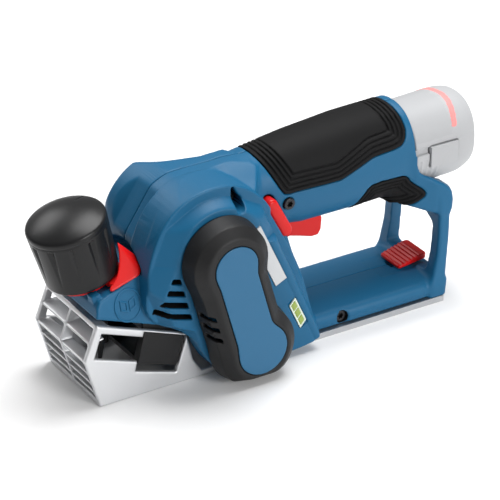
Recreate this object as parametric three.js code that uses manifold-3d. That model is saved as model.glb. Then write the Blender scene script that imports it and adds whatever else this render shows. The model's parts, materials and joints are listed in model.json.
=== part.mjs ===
// Compact cordless hand planer, in millimetres.
// +Z is up, -X is the direction of travel (knob end) and -Y is the belt side.
// The origin is on the underside of the rear sole, on the tool's centre plane.
import * as THREE from "three";
import { ConvexGeometry } from "three/addons/geometries/ConvexGeometry.js";
import { mergeVertices } from "three/addons/utils/BufferGeometryUtils.js";
import Module from "manifold-3d";

const wasm = await Module();
wasm.setup();

// ---- Driving dimensions ----

const gap = 0.3; // between fixed pieces that touch
const runningGap = 0.7; // around pieces that move
const farAway = 400; // reach of a tool body that cuts right through

// Sole, shoe and cutter
const soleHalfWidth = 28.5;
const soleThickness = 3.5;
const soleRearX = 105.5;
const cuttingRadius = 18.9;
const bladeProjection = 1.3;
const drumRadius = cuttingRadius - bladeProjection;
const drumHalfLength = 28;
const drumX = -29.5;
const soleScrewXs = [drumX + 44, soleRearX - 34];
const soleScrewRadius = 3.2;
const tipClearance = 0.1; // tips stop this far above the sole plane at zero depth
const drumZ = cuttingRadius + tipClearance;
const mouthClearance = 0.7;
const maximumDepth = 2;
const shoeLength = 84; // from the drum axis to the toe of the shoe's underside
const shoeNoseReach = 8.4; // the nose stands this far ahead of the toe
const shoeNoseZ = 29.5;
const shoeTopZ = 49.2;
const shoeTopSlope = 0.382; // the top edge falls this much per millimetre rearwards
const shoeWall = 3;
const shoeFloor = 4;
const grilleDepth = 9;
const grilleBar = 1.4;
const shoeToHousing = maximumDepth + 1.4;

// Belt drive
const beltSetback = 16.8; // motor axis ahead of the drum axis
const beltRise = 56.3; // motor axis above the drum axis
const motorX = drumX - beltSetback;
const motorZ = drumZ + beltRise;
const flankDepth = 9.2; // belt-side flank beyond the sole's edge
const flankY = -(soleHalfWidth + flankDepth);
const coverDepth = 16;
const coverWall = 2.4;
const coverY = flankY - gap - coverDepth;
const coverBaseRadius = 24;
const coverFaceRadius = 19;
const coverWaist = 12.5;
const coverFootZ = 1.4;
const motorPulleyRadius = 8;
const drumPulleyRadius = cuttingRadius - 6.4; // keeps the belt inside the cover's foot
const beltThickness = 1.6;
const beltWidth = 7;
const pulleyFlange = 1.4;
const pulleyWidth = beltWidth + 2;
const pulleyY = flankY - 2.6 - pulleyWidth / 2;

// Motor
const statorRadius = 22;
const statorBore = 12.6;
const rotorRadius = 12;
const statorHalfLength = 15;
const statorY = -3;
const motorShaftRadius = 2.5;
const fanRadius = statorRadius - 1.5;
const fanWidth = 5;
const headRadius = 33;
const headHalfWidth = 27;
const bearingWidth = 5;
const motorBearingRadius = 8;
const drumBearingRadius = 9.5;
const drumShaftRadius = 5;

// Handle, battery and rear frame
const handleTilt = THREE.MathUtils.degToRad(2.5);
const rimX = soleRearX - 17.5;
const rimZ = 92.5;
const handleHalfWidth = 22.5;
const handleTop = 26.5;
const handleBottom = 24.5;
const gripDepth = 1.6;
const batteryDrop = 2;
const batteryHeadLength = 43.5;
const batteryHalfWidth = 22;
const batteryHalfHeight = 24.5;
const stalkLength = 46;
const frameThickness = 7;
const frameRearX = soleRearX + 5.5;
const frameLegWidth = 8;
const frameTopZ = 69;
const baseEdgeZ = 13.5;
const baseCrownZ = 16;

// Knob and chip selector
const knobTilt = THREE.MathUtils.degToRad(15);
const knobX = -108.5;
const knobZ = 66;
const knobBaseRadius = 20;
const knobRimRadius = 22;
const knobHeight = 33;
const knobDome = 8;
const spindleRadius = 4;
const deckClearance = 3.7; // deck surface below the knob's base
const selectorReach = 31.5;
const selectorHeight = 14;
const selectorHalfAngle = THREE.MathUtils.degToRad(30);
const selectorAngle = THREE.MathUtils.degToRad(-47);

// Controls
const triggerHalfWidth = 6;
const lockHeadRadius = 3.6;
const lockHeadReach = 26.2;
const parkSlotHalfWidth = 5.6;
const buttonTravel = 1.2;

// ---- Colours ----

const blue = new THREE.MeshStandardMaterial({ color: 0x2f6f9c, roughness: 0.55, metalness: 0 });
const black = new THREE.MeshStandardMaterial({ color: 0x262626, roughness: 0.6, metalness: 0 });
const rubber = new THREE.MeshStandardMaterial({ color: 0x1d1d1d, roughness: 0.85, metalness: 0 });
const red = new THREE.MeshStandardMaterial({ color: 0xd92523, roughness: 0.4, metalness: 0 });
const aluminium = new THREE.MeshStandardMaterial({ color: 0xc4c6c8, roughness: 0.35, metalness: 1 });
const steel = new THREE.MeshStandardMaterial({ color: 0x9a9da0, roughness: 0.3, metalness: 1 });
const copper = new THREE.MeshStandardMaterial({ color: 0x9a5a35, roughness: 0.4, metalness: 1 });
const paleGrey = new THREE.MeshStandardMaterial({ color: 0xc9cacb, roughness: 0.5, metalness: 0 });
const green = new THREE.MeshStandardMaterial({ color: 0x3d7a4a, roughness: 0.6, metalness: 0 });
const clear = new THREE.MeshStandardMaterial({ color: 0xd9e2b0, roughness: 0.2, metalness: 0 });

// ---- Shape helpers ----

const segments = 24;
const point = (x, y, z) => new THREE.Vector3(x, y, z);

// A closed three.js geometry as a solid that can be joined and cut.
function solid(geometry) {
  const bare = geometry.clone();
  bare.deleteAttribute("normal");
  bare.deleteAttribute("uv");
  const merged = mergeVertices(bare, 1e-4);
  const mesh = new wasm.Mesh({
    numProp: 3,
    vertProperties: merged.attributes.position.array,
    triVerts: new Uint32Array(merged.index.array),
  });
  return new wasm.Manifold(mesh);
}

const join = (first, ...others) => others.reduce((sum, next) => sum.add(next), first);
const cut = (first, ...others) => others.reduce((rest, next) => rest.subtract(next), first);
const hull = (points) => solid(new ConvexGeometry(points));

function box(x0, x1, y0, y1, z0, z1) {
  const geometry = new THREE.BoxGeometry(x1 - x0, y1 - y0, z1 - z0);
  geometry.translate((x0 + x1) / 2, (y0 + y1) / 2, (z0 + z1) / 2);
  return solid(geometry);
}

// An outline of [x, z] points, drawn from y0 to y1.
function prism(outline, y0, y1) {
  const shape = new THREE.Shape(outline.map(([x, z]) => new THREE.Vector2(x, z)));
  const geometry = new THREE.ExtrudeGeometry(shape, { depth: y1 - y0, bevelEnabled: false });
  geometry.rotateX(Math.PI / 2);
  geometry.translate(0, y1, 0);
  return solid(geometry);
}

// A cylinder or cone frustum along Y, centred on [x, z].
function rod(x, z, radius, y0, y1, endRadius = radius, sides = segments) {
  const geometry = new THREE.CylinderGeometry(endRadius, radius, y1 - y0, sides);
  geometry.translate(x, (y0 + y1) / 2, 0);
  geometry.translate(0, 0, z);
  return solid(geometry);
}

// A cylinder along Z.
function post(x, y, radius, z0, z1, sides = segments) {
  const geometry = new THREE.CylinderGeometry(radius, radius, z1 - z0, sides);
  geometry.rotateX(Math.PI / 2);
  geometry.translate(x, y, (z0 + z1) / 2);
  return solid(geometry);
}

// A profile of [radius, height] points turned about Z, then moved by a matrix.
function turned(profile, matrix = new THREE.Matrix4(), sides = segments) {
  const points = profile.map(([radius, height]) => new THREE.Vector2(radius, height));
  const geometry = new THREE.LatheGeometry(points, sides);
  geometry.rotateX(Math.PI / 2);
  geometry.applyMatrix4(matrix);
  return solid(geometry);
}

// Points of a circle of [x, z] centre in the plane at y.
function circle(x, z, radius, y, sides = segments) {
  return Array.from({ length: sides }, (_, i) => {
    const angle = (2 * Math.PI * i) / sides;
    return point(x + radius * Math.cos(angle), y, z + radius * Math.sin(angle));
  });
}

// Points of an outline of [x, z] pairs in the planes at each y.
const outlineAt = (outline, ...ys) => ys.flatMap((y) => outline.map(([x, z]) => point(x, y, z)));

// Points of a rounded section across the handle at x.
function section(x, z, halfWidth, top, bottom, sides = segments) {
  const squareness = 2 / 2.3;
  const bulge = (v) => Math.sign(v) * Math.abs(v) ** squareness;
  return Array.from({ length: sides }, (_, i) => {
    const angle = (2 * Math.PI * i) / sides;
    const rise = Math.sin(angle) > 0 ? top : bottom;
    return point(x, halfWidth * bulge(Math.cos(angle)), z + rise * bulge(Math.sin(angle)));
  });
}

// The named, coloured mesh of a solid.
function piece(name, body, material) {
  const found = body.getMesh();
  const geometry = new THREE.BufferGeometry();
  geometry.setAttribute("position", new THREE.BufferAttribute(found.vertProperties, found.numProp));
  geometry.setIndex(new THREE.BufferAttribute(found.triVerts, 1));
  geometry.computeVertexNormals();
  const mesh = new THREE.Mesh(geometry, material);
  mesh.name = name;
  return mesh;
}

function group(...meshes) {
  const made = new THREE.Group();
  made.add(...meshes);
  return made;
}

const mirrorY = (points) => points.flatMap((p) => [p, point(p.x, -p.y, p.z)]);

// ---- Shared places ----

const toeX = drumX - shoeLength - 1.5;
const shoeTopAt = (x) => shoeTopZ - shoeTopSlope * (x - toeX);
const housingEdgeAt = (x) => shoeTopAt(x) + shoeToHousing;
const shoeHeel = [
  [toeX + 62, shoeFloor],
  [toeX + 57, 12],
  [toeX + 53.1, shoeTopAt(toeX + 53.1)],
];
// The edge of the mouth in the shoe, clear of the cutting circle when the shoe is fully raised.
function shoeLipAt(z) {
  const height = drumZ - z - maximumDepth;
  return drumX - Math.sqrt((cuttingRadius + mouthClearance) ** 2 - height ** 2) - 0.3;
}
const handleZ = (x) => rimZ + (x - rimX) * Math.tan(handleTilt);
const batteryZ = (x) => handleZ(x) - batteryDrop;
const baseFloorZ = soleThickness + gap;
const knobFrame = new THREE.Matrix4()
  .makeTranslation(knobX, 0, knobZ)
  .multiply(new THREE.Matrix4().makeRotationY(-knobTilt));
const deckAt = (x) => knobZ - deckClearance / Math.cos(knobTilt) + (x - knobX) * Math.tan(knobTilt);
const deckFrontX = toeX + 2.5;
const deckRearX = knobX + 22.5;
const headFrontX = motorX - 17.7;
const headTopZ = motorZ + 35.7;
const bodyRearX = 20;
const bodyRearTopX = 8;
const stalkX0 = rimX - stalkLength;
const ductCheekOutline = [
  [toeX + 27.6, shoeTopAt(toeX + 27.6) - 1.6],
  [toeX + 51.5, shoeTopAt(toeX + 51.5) - 1.6],
  [toeX + 46.6, 11.6],
  [toeX + 23.4, 19.2],
];
const windowRearOutline = [
  [toeX + 27.2, shoeTopAt(toeX + 27.2) - 1.3],
  [toeX + 53.2, shoeTopAt(toeX + 53.2) - 1.3],
  [toeX + 46.4, 7.4],
  [toeX + 21.4, 15.3],
];
const windowFrontOutline = [
  [toeX + 2, shoeTopZ - 5.4],
  [toeX + 27.3, shoeTopZ - 15],
  [toeX + 23.6, shoeNoseZ - 8.9],
  [toeX - 2.7, shoeNoseZ + 0.4],
];
const vaneX = toeX + 18;
const vaneLowZ = 22.5;
const vaneHeight = 16;
const vaneReach = 21.5;
const vaneAngle = THREE.MathUtils.degToRad(56);
const lockTop = [drumX + 23, 88.5];
const lockBottom = [drumX + 32, 71.5];

// ---- Sole, shoe and chip path ----

function rearSole() {
  const lip = (z) => drumX + Math.sqrt((cuttingRadius + mouthClearance) ** 2 - (drumZ - z) ** 2);
  const profile = [
    [lip(0) + 0.5, 0],
    [soleRearX, 0],
    [soleRearX, soleThickness],
    [lip(soleThickness) + 0.5, soleThickness],
  ];
  const plate = prism(profile, -soleHalfWidth, soleHalfWidth);
  const parkSlot = box(soleRearX - 24, soleRearX + 5, -parkSlotHalfWidth, parkSlotHalfWidth, -1, 10);
  const screwHoles = soleScrewXs.map((x) => post(x, 0, soleScrewRadius + gap, -1, 10, 12));
  return cut(plate, parkSlot, ...screwHoles);
}

function frontShoe() {
  const toe = [toeX, 0];
  const nose = [toeX - shoeNoseReach, shoeNoseZ];
  const brow = [toeX - 0.6, shoeTopZ];
  const outline = [toe, [shoeLipAt(0), 0], [shoeLipAt(shoeFloor), shoeFloor], ...shoeHeel, brow, nose];
  const outer = prism(outline, -soleHalfWidth, soleHalfWidth);
  const inside = soleHalfWidth - shoeWall;
  const hollow = box(toeX - 20, drumX + 10, -inside, inside, shoeFloor, shoeTopZ + 20);
  const grilleZone = prism(
    [
      [toeX, 0],
      [toeX + grilleDepth, 0],
      [nose[0] + grilleDepth, shoeNoseZ],
      [brow[0] + grilleDepth, shoeTopAt(brow[0] + grilleDepth)],
      brow,
      nose,
    ],
    -inside - 0.1,
    inside + 0.1,
  );
  const bars = [7.7, 13.8, 20.4, 28, 40].map((z) =>
    box(toeX - 20, toeX + 20, -farAway, farAway, z - grilleBar / 2, z + grilleBar / 2),
  );
  const rib = box(toeX - 20, toeX + 20, -grilleBar / 2, grilleBar / 2, 0, farAway);
  const browBar = prism(
    [
      [brow[0] - 5, shoeTopZ - 3],
      [brow[0] + 4, shoeTopAt(brow[0] + 4) - 3],
      [brow[0] + 4, shoeTopAt(brow[0] + 4) + 9],
      [brow[0] - 5, shoeTopZ + 9],
    ],
    -farAway,
    farAway,
  );
  const grille = grilleZone.intersect(join(rib, browBar, ...bars));
  const windows = [windowFrontOutline, windowRearOutline].map((o) => prism(o, -farAway, farAway));
  return join(cut(outer, hollow, ...windows), grille);
}

// The fixed black duct: a cheek shows in each side window of the shoe, a sleeve reaches up
// into the housing behind it, and a sloping floor joins the two sides.
function chipDuct() {
  const half = soleHalfWidth - 0.5;
  const inside = soleHalfWidth - shoeWall - 2.6;
  const sleeveHalf = inside + 1.6;
  const [frontTop, rearTop, rearLow, frontLow] = ductCheekOutline;
  const floor = [frontLow, rearLow, [rearLow[0] + 0.6, rearLow[1] + 2], [frontLow[0] + 0.6, frontLow[1] + 2]];
  const sleeve = [
    [frontTop[0] + 1, frontTop[1] - 8],
    [rearTop[0] - 1, rearTop[1] - 8],
    [rearTop[0] - 1, housingEdgeAt(rearTop[0]) + 5],
    [frontTop[0] + 1, housingEdgeAt(frontTop[0]) + 5],
  ];
  const sides = join(prism(ductCheekOutline, -half, half), prism(sleeve, -sleeveHalf, sleeveHalf));
  const channel = box(toeX, drumX, -inside, inside, 0, farAway);
  return join(cut(sides, channel), prism(floor, -inside - 1, inside + 1));
}

// A vane on an upright pin that turns chips out to one side or the other.
function chipVane() {
  const blade = new THREE.BoxGeometry(2 * vaneReach, 2, vaneHeight);
  blade.rotateZ(vaneAngle);
  blade.translate(vaneX, 0, vaneLowZ + vaneHeight / 2);
  return join(solid(blade), post(vaneX, 0, 2.6, vaneLowZ - 1.5, vaneLowZ + vaneHeight + 7, 16));
}

// ---- Housing ----

const handleStations = [
  { x: drumX + 19, halfWidth: 20, top: 22, bottom: 20 },
  { x: drumX + 50, halfWidth: 21.2, top: 25.2, bottom: 25.5 },
  { x: drumX + 82, halfWidth: handleHalfWidth, top: handleTop + 0.5, bottom: handleBottom },
  { x: rimX, halfWidth: handleHalfWidth, top: handleTop, bottom: handleBottom - 0.5 },
];

// The handle's outside, drawn in by an inset.
function handleBody(inset) {
  const rings = handleStations.map(({ x, halfWidth, top, bottom }) =>
    section(x, handleZ(x), halfWidth - inset, top - inset, bottom - inset),
  );
  return join(...rings.slice(1).map((ring, i) => hull([...rings[i], ...ring])));
}

function outerShape() {
  const side = soleHalfWidth;
  const floorZ = baseFloorZ;
  const head = hull([
    ...mirrorY([
      point(headFrontX, 14, headTopZ),
      point(motorX + 16, 15, headTopZ),
      point(deckRearX, 20, deckAt(deckRearX) + 2),
      point(deckRearX + 1, 14, motorZ + 2),
      point(bodyRearTopX - 12, 20, 98),
      point(bodyRearTopX, 20, 60),
    ]),
    ...circle(motorX, motorZ, headRadius, headHalfWidth),
    ...circle(motorX, motorZ, headRadius, -headHalfWidth),
  ]);
  const deck = hull(
    mirrorY([
      point(toeX - 0.5, side, housingEdgeAt(toeX - 0.5)),
      point(deckFrontX - 1.5, side, deckAt(deckFrontX) - 3),
      point(deckFrontX, side - 5, deckAt(deckFrontX)),
      point(deckRearX, side - 5, deckAt(deckRearX)),
      point(deckRearX, side, deckAt(deckRearX) - 6),
      point(toeX + 52, side, housingEdgeAt(toeX + 52)),
      point(motorX, side, 60),
    ]),
  );
  const lower = hull(
    mirrorY([
      point(toeX + 53.6, side, housingEdgeAt(toeX + 53.6)),
      point(toeX + 61.5, side, 13),
      point(toeX + 69, side, floorZ),
      point(bodyRearX - 6, side, floorZ),
      point(bodyRearX, side, baseEdgeZ),
      point(bodyRearTopX, side - 6, 58),
      point(motorX, side, 66),
      point(deckRearX, side, deckAt(deckRearX) - 6),
    ]),
  );
  const flankOutline = [
    [motorX + 36, motorZ + 3.4],
    [bodyRearTopX - 9, 56],
    [bodyRearX - 4, 14],
    [bodyRearX - 2, 10],
    [drumX + 34, floorZ],
    [drumX - 17, floorZ],
    [drumX - 27, drumZ + 3],
    [drumX - 31.5, drumZ + 17],
  ];
  const flank = hull([
    ...circle(motorX, motorZ, coverBaseRadius + 3, flankY),
    ...circle(motorX, motorZ, headRadius, -headHalfWidth),
    ...outlineAt(flankOutline, flankY),
    ...outlineAt(flankOutline, -side + 2),
    point(motorX + 38, -side + 4, motorZ + 6),
  ]);
  const guardOutline = [[motorX, 62], [bodyRearTopX - 8, 58], [drumX + 24, floorZ], [drumX - 24, floorZ]];
  const guard = hull([
    ...circle(drumX, drumZ + 6, cuttingRadius + 4, side - 2),
    ...outlineAt(guardOutline, side - 2),
    ...circle(drumX, drumZ + 5, cuttingRadius + 2, side + 2.6),
    ...outlineAt([[drumX + 20, floorZ], [drumX - 20, floorZ]], side + 2.6),
  ]);
  const belowFloor = box(-farAway, farAway, -farAway, farAway, -farAway, floorZ);
  const drumBoss = join(
    cut(guard, belowFloor),
    rod(drumX, drumZ, 14, side - 2, side + 6.5, 13),
    rod(motorX, motorZ, 20, headHalfWidth - 1, headHalfWidth + 4, 17),
  );
  const base = hull(
    mirrorY([
      point(drumX + 30, side - 0.5, floorZ),
      point(frameRearX - 4.5, side - 0.5, floorZ),
      point(frameRearX - 3, side - 0.5, baseEdgeZ),
      point(drumX + 30, side - 0.5, baseEdgeZ),
      point(drumX + 30, 12, baseCrownZ),
      point(frameRearX - 3, 12, baseCrownZ),
    ]),
  );
  return join(head, deck, lower, flank, drumBoss, base, handleBody(0), rearFrame());
}

// Two rear legs and the shoulder that carries the handle's end and cradles the battery.
function rearFrame() {
  const side = soleHalfWidth - 0.5;
  const legFoot = [frameRearX - 4.5, baseFloorZ];
  const x0 = frameRearX - frameThickness;
  const block = hull(
    mirrorY([
      point(x0 - 3.5, side, baseFloorZ),
      point(legFoot[0], side, legFoot[1]),
      point(frameRearX, side - 2, frameTopZ - 4),
      point(frameRearX - 2.5, side - 4, frameTopZ),
      point(x0, side - 4, frameTopZ),
      point(x0, side - 2, frameTopZ - 4),
    ]),
  );
  const shoulder = hull(
    mirrorY([
      point(rimX - 10, 16, handleZ(rimX) - handleBottom + 4),
      point(rimX - 10, 10, handleZ(rimX) - handleBottom - 1),
      point(rimX + 2, 20, 78),
      point(frameRearX - 2.5, side - 4, frameTopZ),
      point(frameRearX, side - 2, frameTopZ - 4),
      point(frameRearX - 1, side - 2, frameTopZ - 12),
      point(x0, side - 2, frameTopZ - 12),
      point(rimX - 6, 14, 64),
    ]),
  );
  const opening = side - frameLegWidth;
  const windowShape = hull([
    ...[x0 - 30, frameRearX + 10].flatMap((x) =>
      [-1, 1].flatMap((s) => [
        point(x, s * opening, baseCrownZ + 2.5),
        point(x, s * opening, 42),
        point(x, s * (opening - 9), 56),
      ]),
    ),
  ]);
  return cut(join(block, shoulder), windowShape);
}

const gripOutline = [
  [drumX + 22, 125],
  [drumX + 33, 91],
  [drumX + 38, 88],
  [drumX + 68, 92.5],
  [drumX + 84, 99],
  [rimX - 9, 99],
  [rimX - 4, 104],
  [rimX - 5, 125],
];
const padOutline = [
  [drumX + 78, 60],
  [drumX + 84, 72],
  [rimX - 18, 77],
  [rimX - 9, 78],
  [rimX - 2, 71.5],
  [rimX - 8, 62],
];

function gripRegion(outline, margin) {
  const centre = outline.reduce(([a, b], [x, z]) => [a + x / outline.length, b + z / outline.length], [0, 0]);
  const grown = outline.map(([x, z]) => {
    const dx = x - centre[0];
    const dz = z - centre[1];
    const length = Math.hypot(dx, dz);
    return [x + (dx / length) * margin, z + (dz / length) * margin];
  });
  return prism(grown, -farAway, farAway);
}

function gripSaddle() {
  const ring = cut(handleBody(0), handleBody(gripDepth));
  return ring.intersect(gripRegion(gripOutline, 0));
}

function gripPad(sign) {
  const ring = cut(handleBody(0), handleBody(gripDepth));
  const near = box(-farAway, farAway, sign > 0 ? 4 : -farAway, sign > 0 ? farAway : -4, 0, farAway);
  return ring.intersect(gripRegion(padOutline, 0)).intersect(near);
}

function batterySection(x, growth) {
  return section(x, batteryZ(x), batteryHalfWidth + growth, batteryHalfHeight + growth, batteryHalfHeight + growth);
}

function stalkSection(x, growth) {
  const shrink = 4.6;
  const rise = batteryDrop - 0.6;
  return batterySection(x, growth - shrink).map((p) => point(p.x, p.y, p.z + rise));
}

function hollows() {
  const inside = soleHalfWidth - 4;
  const motorBay = join(
    rod(motorX, motorZ, statorRadius + gap, statorY - statorHalfLength - 5, statorY + statorHalfLength + 9),
    rod(motorX, motorZ, motorBearingRadius + gap, flankY + 4, 0),
    rod(motorX, motorZ, motorShaftRadius + 1.5, flankY - 5, 0),
    rod(motorX, motorZ, motorBearingRadius + gap, 0, headHalfWidth + 2),
  );
  const drumBay = join(
    rod(drumX, drumZ, cuttingRadius + 2.6, -drumHalfLength - gap, drumHalfLength + gap),
    box(drumX - 15, drumX + 13, -drumHalfLength - gap, drumHalfLength + gap, -5, drumZ),
    rod(drumX, drumZ, drumBearingRadius + gap, flankY + 2, -drumHalfLength),
    rod(drumX, drumZ, drumShaftRadius + 1.5, flankY - 5, -drumHalfLength),
    rod(drumX, drumZ, drumBearingRadius + gap, drumHalfLength, drumHalfLength + 6),
  );
  const chipBay = hull(
    mirrorY([
      point(deckFrontX + 3, inside, housingEdgeAt(deckFrontX) - 12),
      point(deckFrontX + 3, inside, deckAt(deckFrontX + 3) - 6),
      point(deckRearX, inside, deckAt(deckRearX) - 12),
      point(toeX + 56, inside, 42),
      point(drumX - 14, inside, drumZ + 8),
      point(drumX - 14, inside, -2),
      point(toeX + 30, inside, -2),
    ]),
  );
  const stalkBay = hull([...stalkSection(stalkX0 - 6, runningGap), ...stalkSection(rimX + 5, runningGap)]);
  const electronicsBay = hull(
    mirrorY([
      point(motorX + 30, 13, 92),
      point(motorX + 30, 13, 78),
      point(stalkX0 - 4, 15, 104),
      point(stalkX0 - 4, 15, 78),
      point(motorX + 32, 12, 101),
    ]),
  );
  const batteryCradle = hull([...batterySection(rimX + 0.1, runningGap), ...batterySection(rimX + 60, runningGap)]);
  return [motorBay, drumBay, chipBay, stalkBay, electronicsBay, batteryCradle];
}

// The space that the shoe takes up as it rises.
function shoeSweep() {
  const [heelLow, heelMid, heelTop] = shoeHeel;
  const rise = maximumDepth + gap;
  const outline = [
    [toeX - 12, -1],
    [shoeLipAt(0) + runningGap, -1],
    [shoeLipAt(0) + runningGap, shoeFloor + rise],
    [heelLow[0] + 2, heelLow[1] + rise],
    [heelMid[0] + 2, heelMid[1] + rise],
    [heelTop[0] + 0.7, heelTop[1] + rise],
    [toeX - 12, housingEdgeAt(toeX - 12) - gap],
  ];
  return prism(outline, -soleHalfWidth - gap, soleHalfWidth + gap);
}

function knobPocket() {
  const height = selectorHeight + 2.5;
  const sweep = selectorReach + runningGap;
  const pocket = turned([[0, -deckClearance], [sweep, -deckClearance], [sweep, 4.5], [knobRimRadius + 2.5, height]]
    .concat([[knobRimRadius + 2.5, knobHeight + 30], [0, knobHeight + 30]]), knobFrame, 32);
  const spindleHole = turned([[0, -30], [spindleRadius + 0.6, -30], [spindleRadius + 0.6, 0], [0, 0]], knobFrame);
  return [pocket, spindleHole];
}

const screws = {
  handle: { x: drumX + 36, z: 84.7, y: -24, depth: 6, radius: 3.3 },
  base: { x: drumX + 67.5, z: 8.6, y: -soleHalfWidth - 1, depth: 8, radius: 3.3 },
  head: { x: motorX + 13.5, z: motorZ + 25, y: -headHalfWidth - 3, depth: 10, radius: 3 },
};

function controlOpenings() {
  const slot = (growth, y0, y1) =>
    hull([
      ...circle(...lockTop, lockHeadRadius + growth, y0, 16),
      ...circle(...lockTop, lockHeadRadius + growth, y1, 16),
      ...circle(...lockBottom, lockHeadRadius + growth, y0, 16),
      ...circle(...lockBottom, lockHeadRadius + growth, y1, 16),
    ]);
  const lockSlot = slot(runningGap / 2, -farAway / 4, farAway / 4);
  const triggerSlot = box(
    triggerPivot[0] - 4,
    triggerPivot[0] + 28,
    -triggerHalfWidth - runningGap,
    triggerHalfWidth + runningGap,
    40,
    82,
  );
  const vents = [46.5, 51, 55.5, 60].map((z) => {
    const reach = (z - 42) * 0.28;
    return box(drumX - 49 + reach, drumX - 31.5 - reach * 0.4, -soleHalfWidth - 8, -19, z - 1.1, z + 1.1);
  });
  const fanVents = [-9, -3, 3, 9].map((x) =>
    box(motorX + x - 1.4, motorX + x + 1.4, 10, headHalfWidth + 9, motorZ + 11, motorZ + 19),
  );
  const recesses = Object.values(screws).map(({ x, z, y, depth, radius }) =>
    rod(x, z, radius + gap, y - 20, y + depth, radius + gap, 16),
  );
  return [lockSlot, triggerSlot, ...vents, ...fanVents, ...recesses];
}

const parkPivot = [soleRearX - 21, 9];
const parkLeverX = soleRearX - 8.5;
const parkTravel = 7;

function parkOpenings() {
  const w = parkSlotHalfWidth;
  const bay = box(soleRearX - 26, frameRearX + 5, -w, w, -5, 12.8);
  const leverSlot = box(parkLeverX - parkTravel - 3.2, parkLeverX + 3.2, -3.2, 3.2, 10, baseCrownZ + 5);
  const seat = box(soleRearX - 30, frameRearX + 5, -11, 11, baseCrownZ - 0.1, baseCrownZ + 10);
  return [bay, leverSlot, seat];
}

function inlays() {
  const grips = cut(
    join(gripRegion(gripOutline, gap), gripRegion(padOutline, gap)),
    handleBody(gripDepth + gap),
  ).intersect(handleBody(-2));
  return [grips, labelSolid(gap), gaugeSolid(gap)];
}

const alongFlank = new THREE.Vector2(0.42, -0.907).normalize();

// A thin plate let into the flank face, its long side along the flank's rear edge.
function flankPlate(centreX, centreZ, length, width, proud, depth, growth) {
  const half = alongFlank.clone().multiplyScalar(length / 2 + growth);
  const across = new THREE.Vector2(-alongFlank.y, alongFlank.x).multiplyScalar(width / 2 + growth);
  const corners = [[-1, -1], [1, -1], [1, 1], [-1, 1]].map(([a, b]) => [
    centreX + a * half.x + b * across.x,
    centreZ + a * half.y + b * across.y,
  ]);
  return prism(corners, flankY - proud, flankY + depth + growth);
}

const labelSolid = (growth) => flankPlate(drumX + 12.5, 67, 39, 7.5, growth > 0 ? 3 : 0.2, 1, growth);
const gaugeSolid = (growth) => flankPlate(drumX + 31.5, 27, 19, 5.5, growth > 0 ? 3 : 0.2, 1.4, growth);

function housingHalves() {
  const whole = cut(
    outerShape(),
    ...hollows(),
    ...knobPocket(),
    ...controlOpenings(),
    ...parkOpenings(),
    ...inlays(),
    shoeSweep(),
  );
  const reach = farAway / 2;
  const left = box(-reach, reach, -reach, -gap / 2, -reach, reach);
  const right = box(-reach, reach, gap / 2, reach, -reach, reach);
  return [left, right].map((side) => largest(whole.intersect(side)));
}

// The biggest of a solid's separate bodies.
function largest(body) {
  return body.decompose().reduce((best, next) => (next.volume() > best.volume() ? next : best));
}

// ---- Belt drive ----

function coverShape(inset, depth) {
  const y0 = flankY - gap;
  const y1 = y0 - depth;
  const taper = (coverBaseRadius - coverFaceRadius) * (depth / coverDepth);
  const lobe = (x, z) => [
    ...circle(x, z, coverBaseRadius - inset, y0),
    ...circle(x, z, coverBaseRadius - inset - taper, y1),
  ];
  const upper = lobe(motorX, motorZ);
  const lower = lobe(drumX, drumZ + 1.5);
  const waist = (x, z) => [
    ...circle(x, z, coverBaseRadius - 4 - inset, y0),
    ...circle(x, z, coverWaist + 2 - inset * 0.8, y1),
  ];
  const middle = hull([...waist(motorX, motorZ), ...waist(drumX, drumZ + 1.5)]);
  const belowFoot = box(-farAway, farAway, -farAway, farAway, -farAway, coverFootZ + inset);
  return cut(join(hull(upper), hull(lower), middle), belowFoot);
}

function beltCover() {
  const hollow = coverShape(coverWall, coverDepth - coverWall);
  const vents = [0, 1, 2].map((i) => {
    const x = drumX - 22 + i * 1.2;
    const z = 44 - i * 5;
    return box(x - 8, x + 6, coverY - 1, flankY - 5, z - 0.9, z + 0.9);
  });
  const badgeSeat = badgeSolid(gap);
  return largest(cut(coverShape(0, coverDepth), hollow, ...vents, badgeSeat));
}

function badgeSolid(growth) {
  const inset = 6 - growth;
  const r = coverFaceRadius - inset;
  const y0 = coverY - (growth > 0 ? 1 : 0.2);
  const y1 = coverY + 1 + growth;
  const lobe = (x, z, radius) => rod(x, z, radius, y0, y1);
  const w = coverWaist - 5 + growth;
  const middle = hull([
    ...circle(motorX, motorZ, w, y0),
    ...circle(motorX, motorZ, w, y1),
    ...circle(drumX, drumZ + 2.5, w, y0),
    ...circle(drumX, drumZ + 2.5, w, y1),
  ]);
  return join(lobe(motorX, motorZ, r), lobe(drumX, drumZ + 2.5, r + 1), middle);
}

function pulley(radius, shaftRadius) {
  const half = pulleyWidth / 2;
  const rim = beltWidth / 2 + 0.3;
  const profile = [
    [shaftRadius + gap, -half],
    [radius + pulleyFlange, -half],
    [radius + pulleyFlange, -rim],
    [radius, -rim],
    [radius, rim],
    [radius + pulleyFlange, rim],
    [radius + pulleyFlange, half],
    [shaftRadius + gap, half],
    [shaftRadius + gap, -half],
  ];
  return turned(profile, new THREE.Matrix4().makeRotationX(Math.PI / 2));
}

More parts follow.
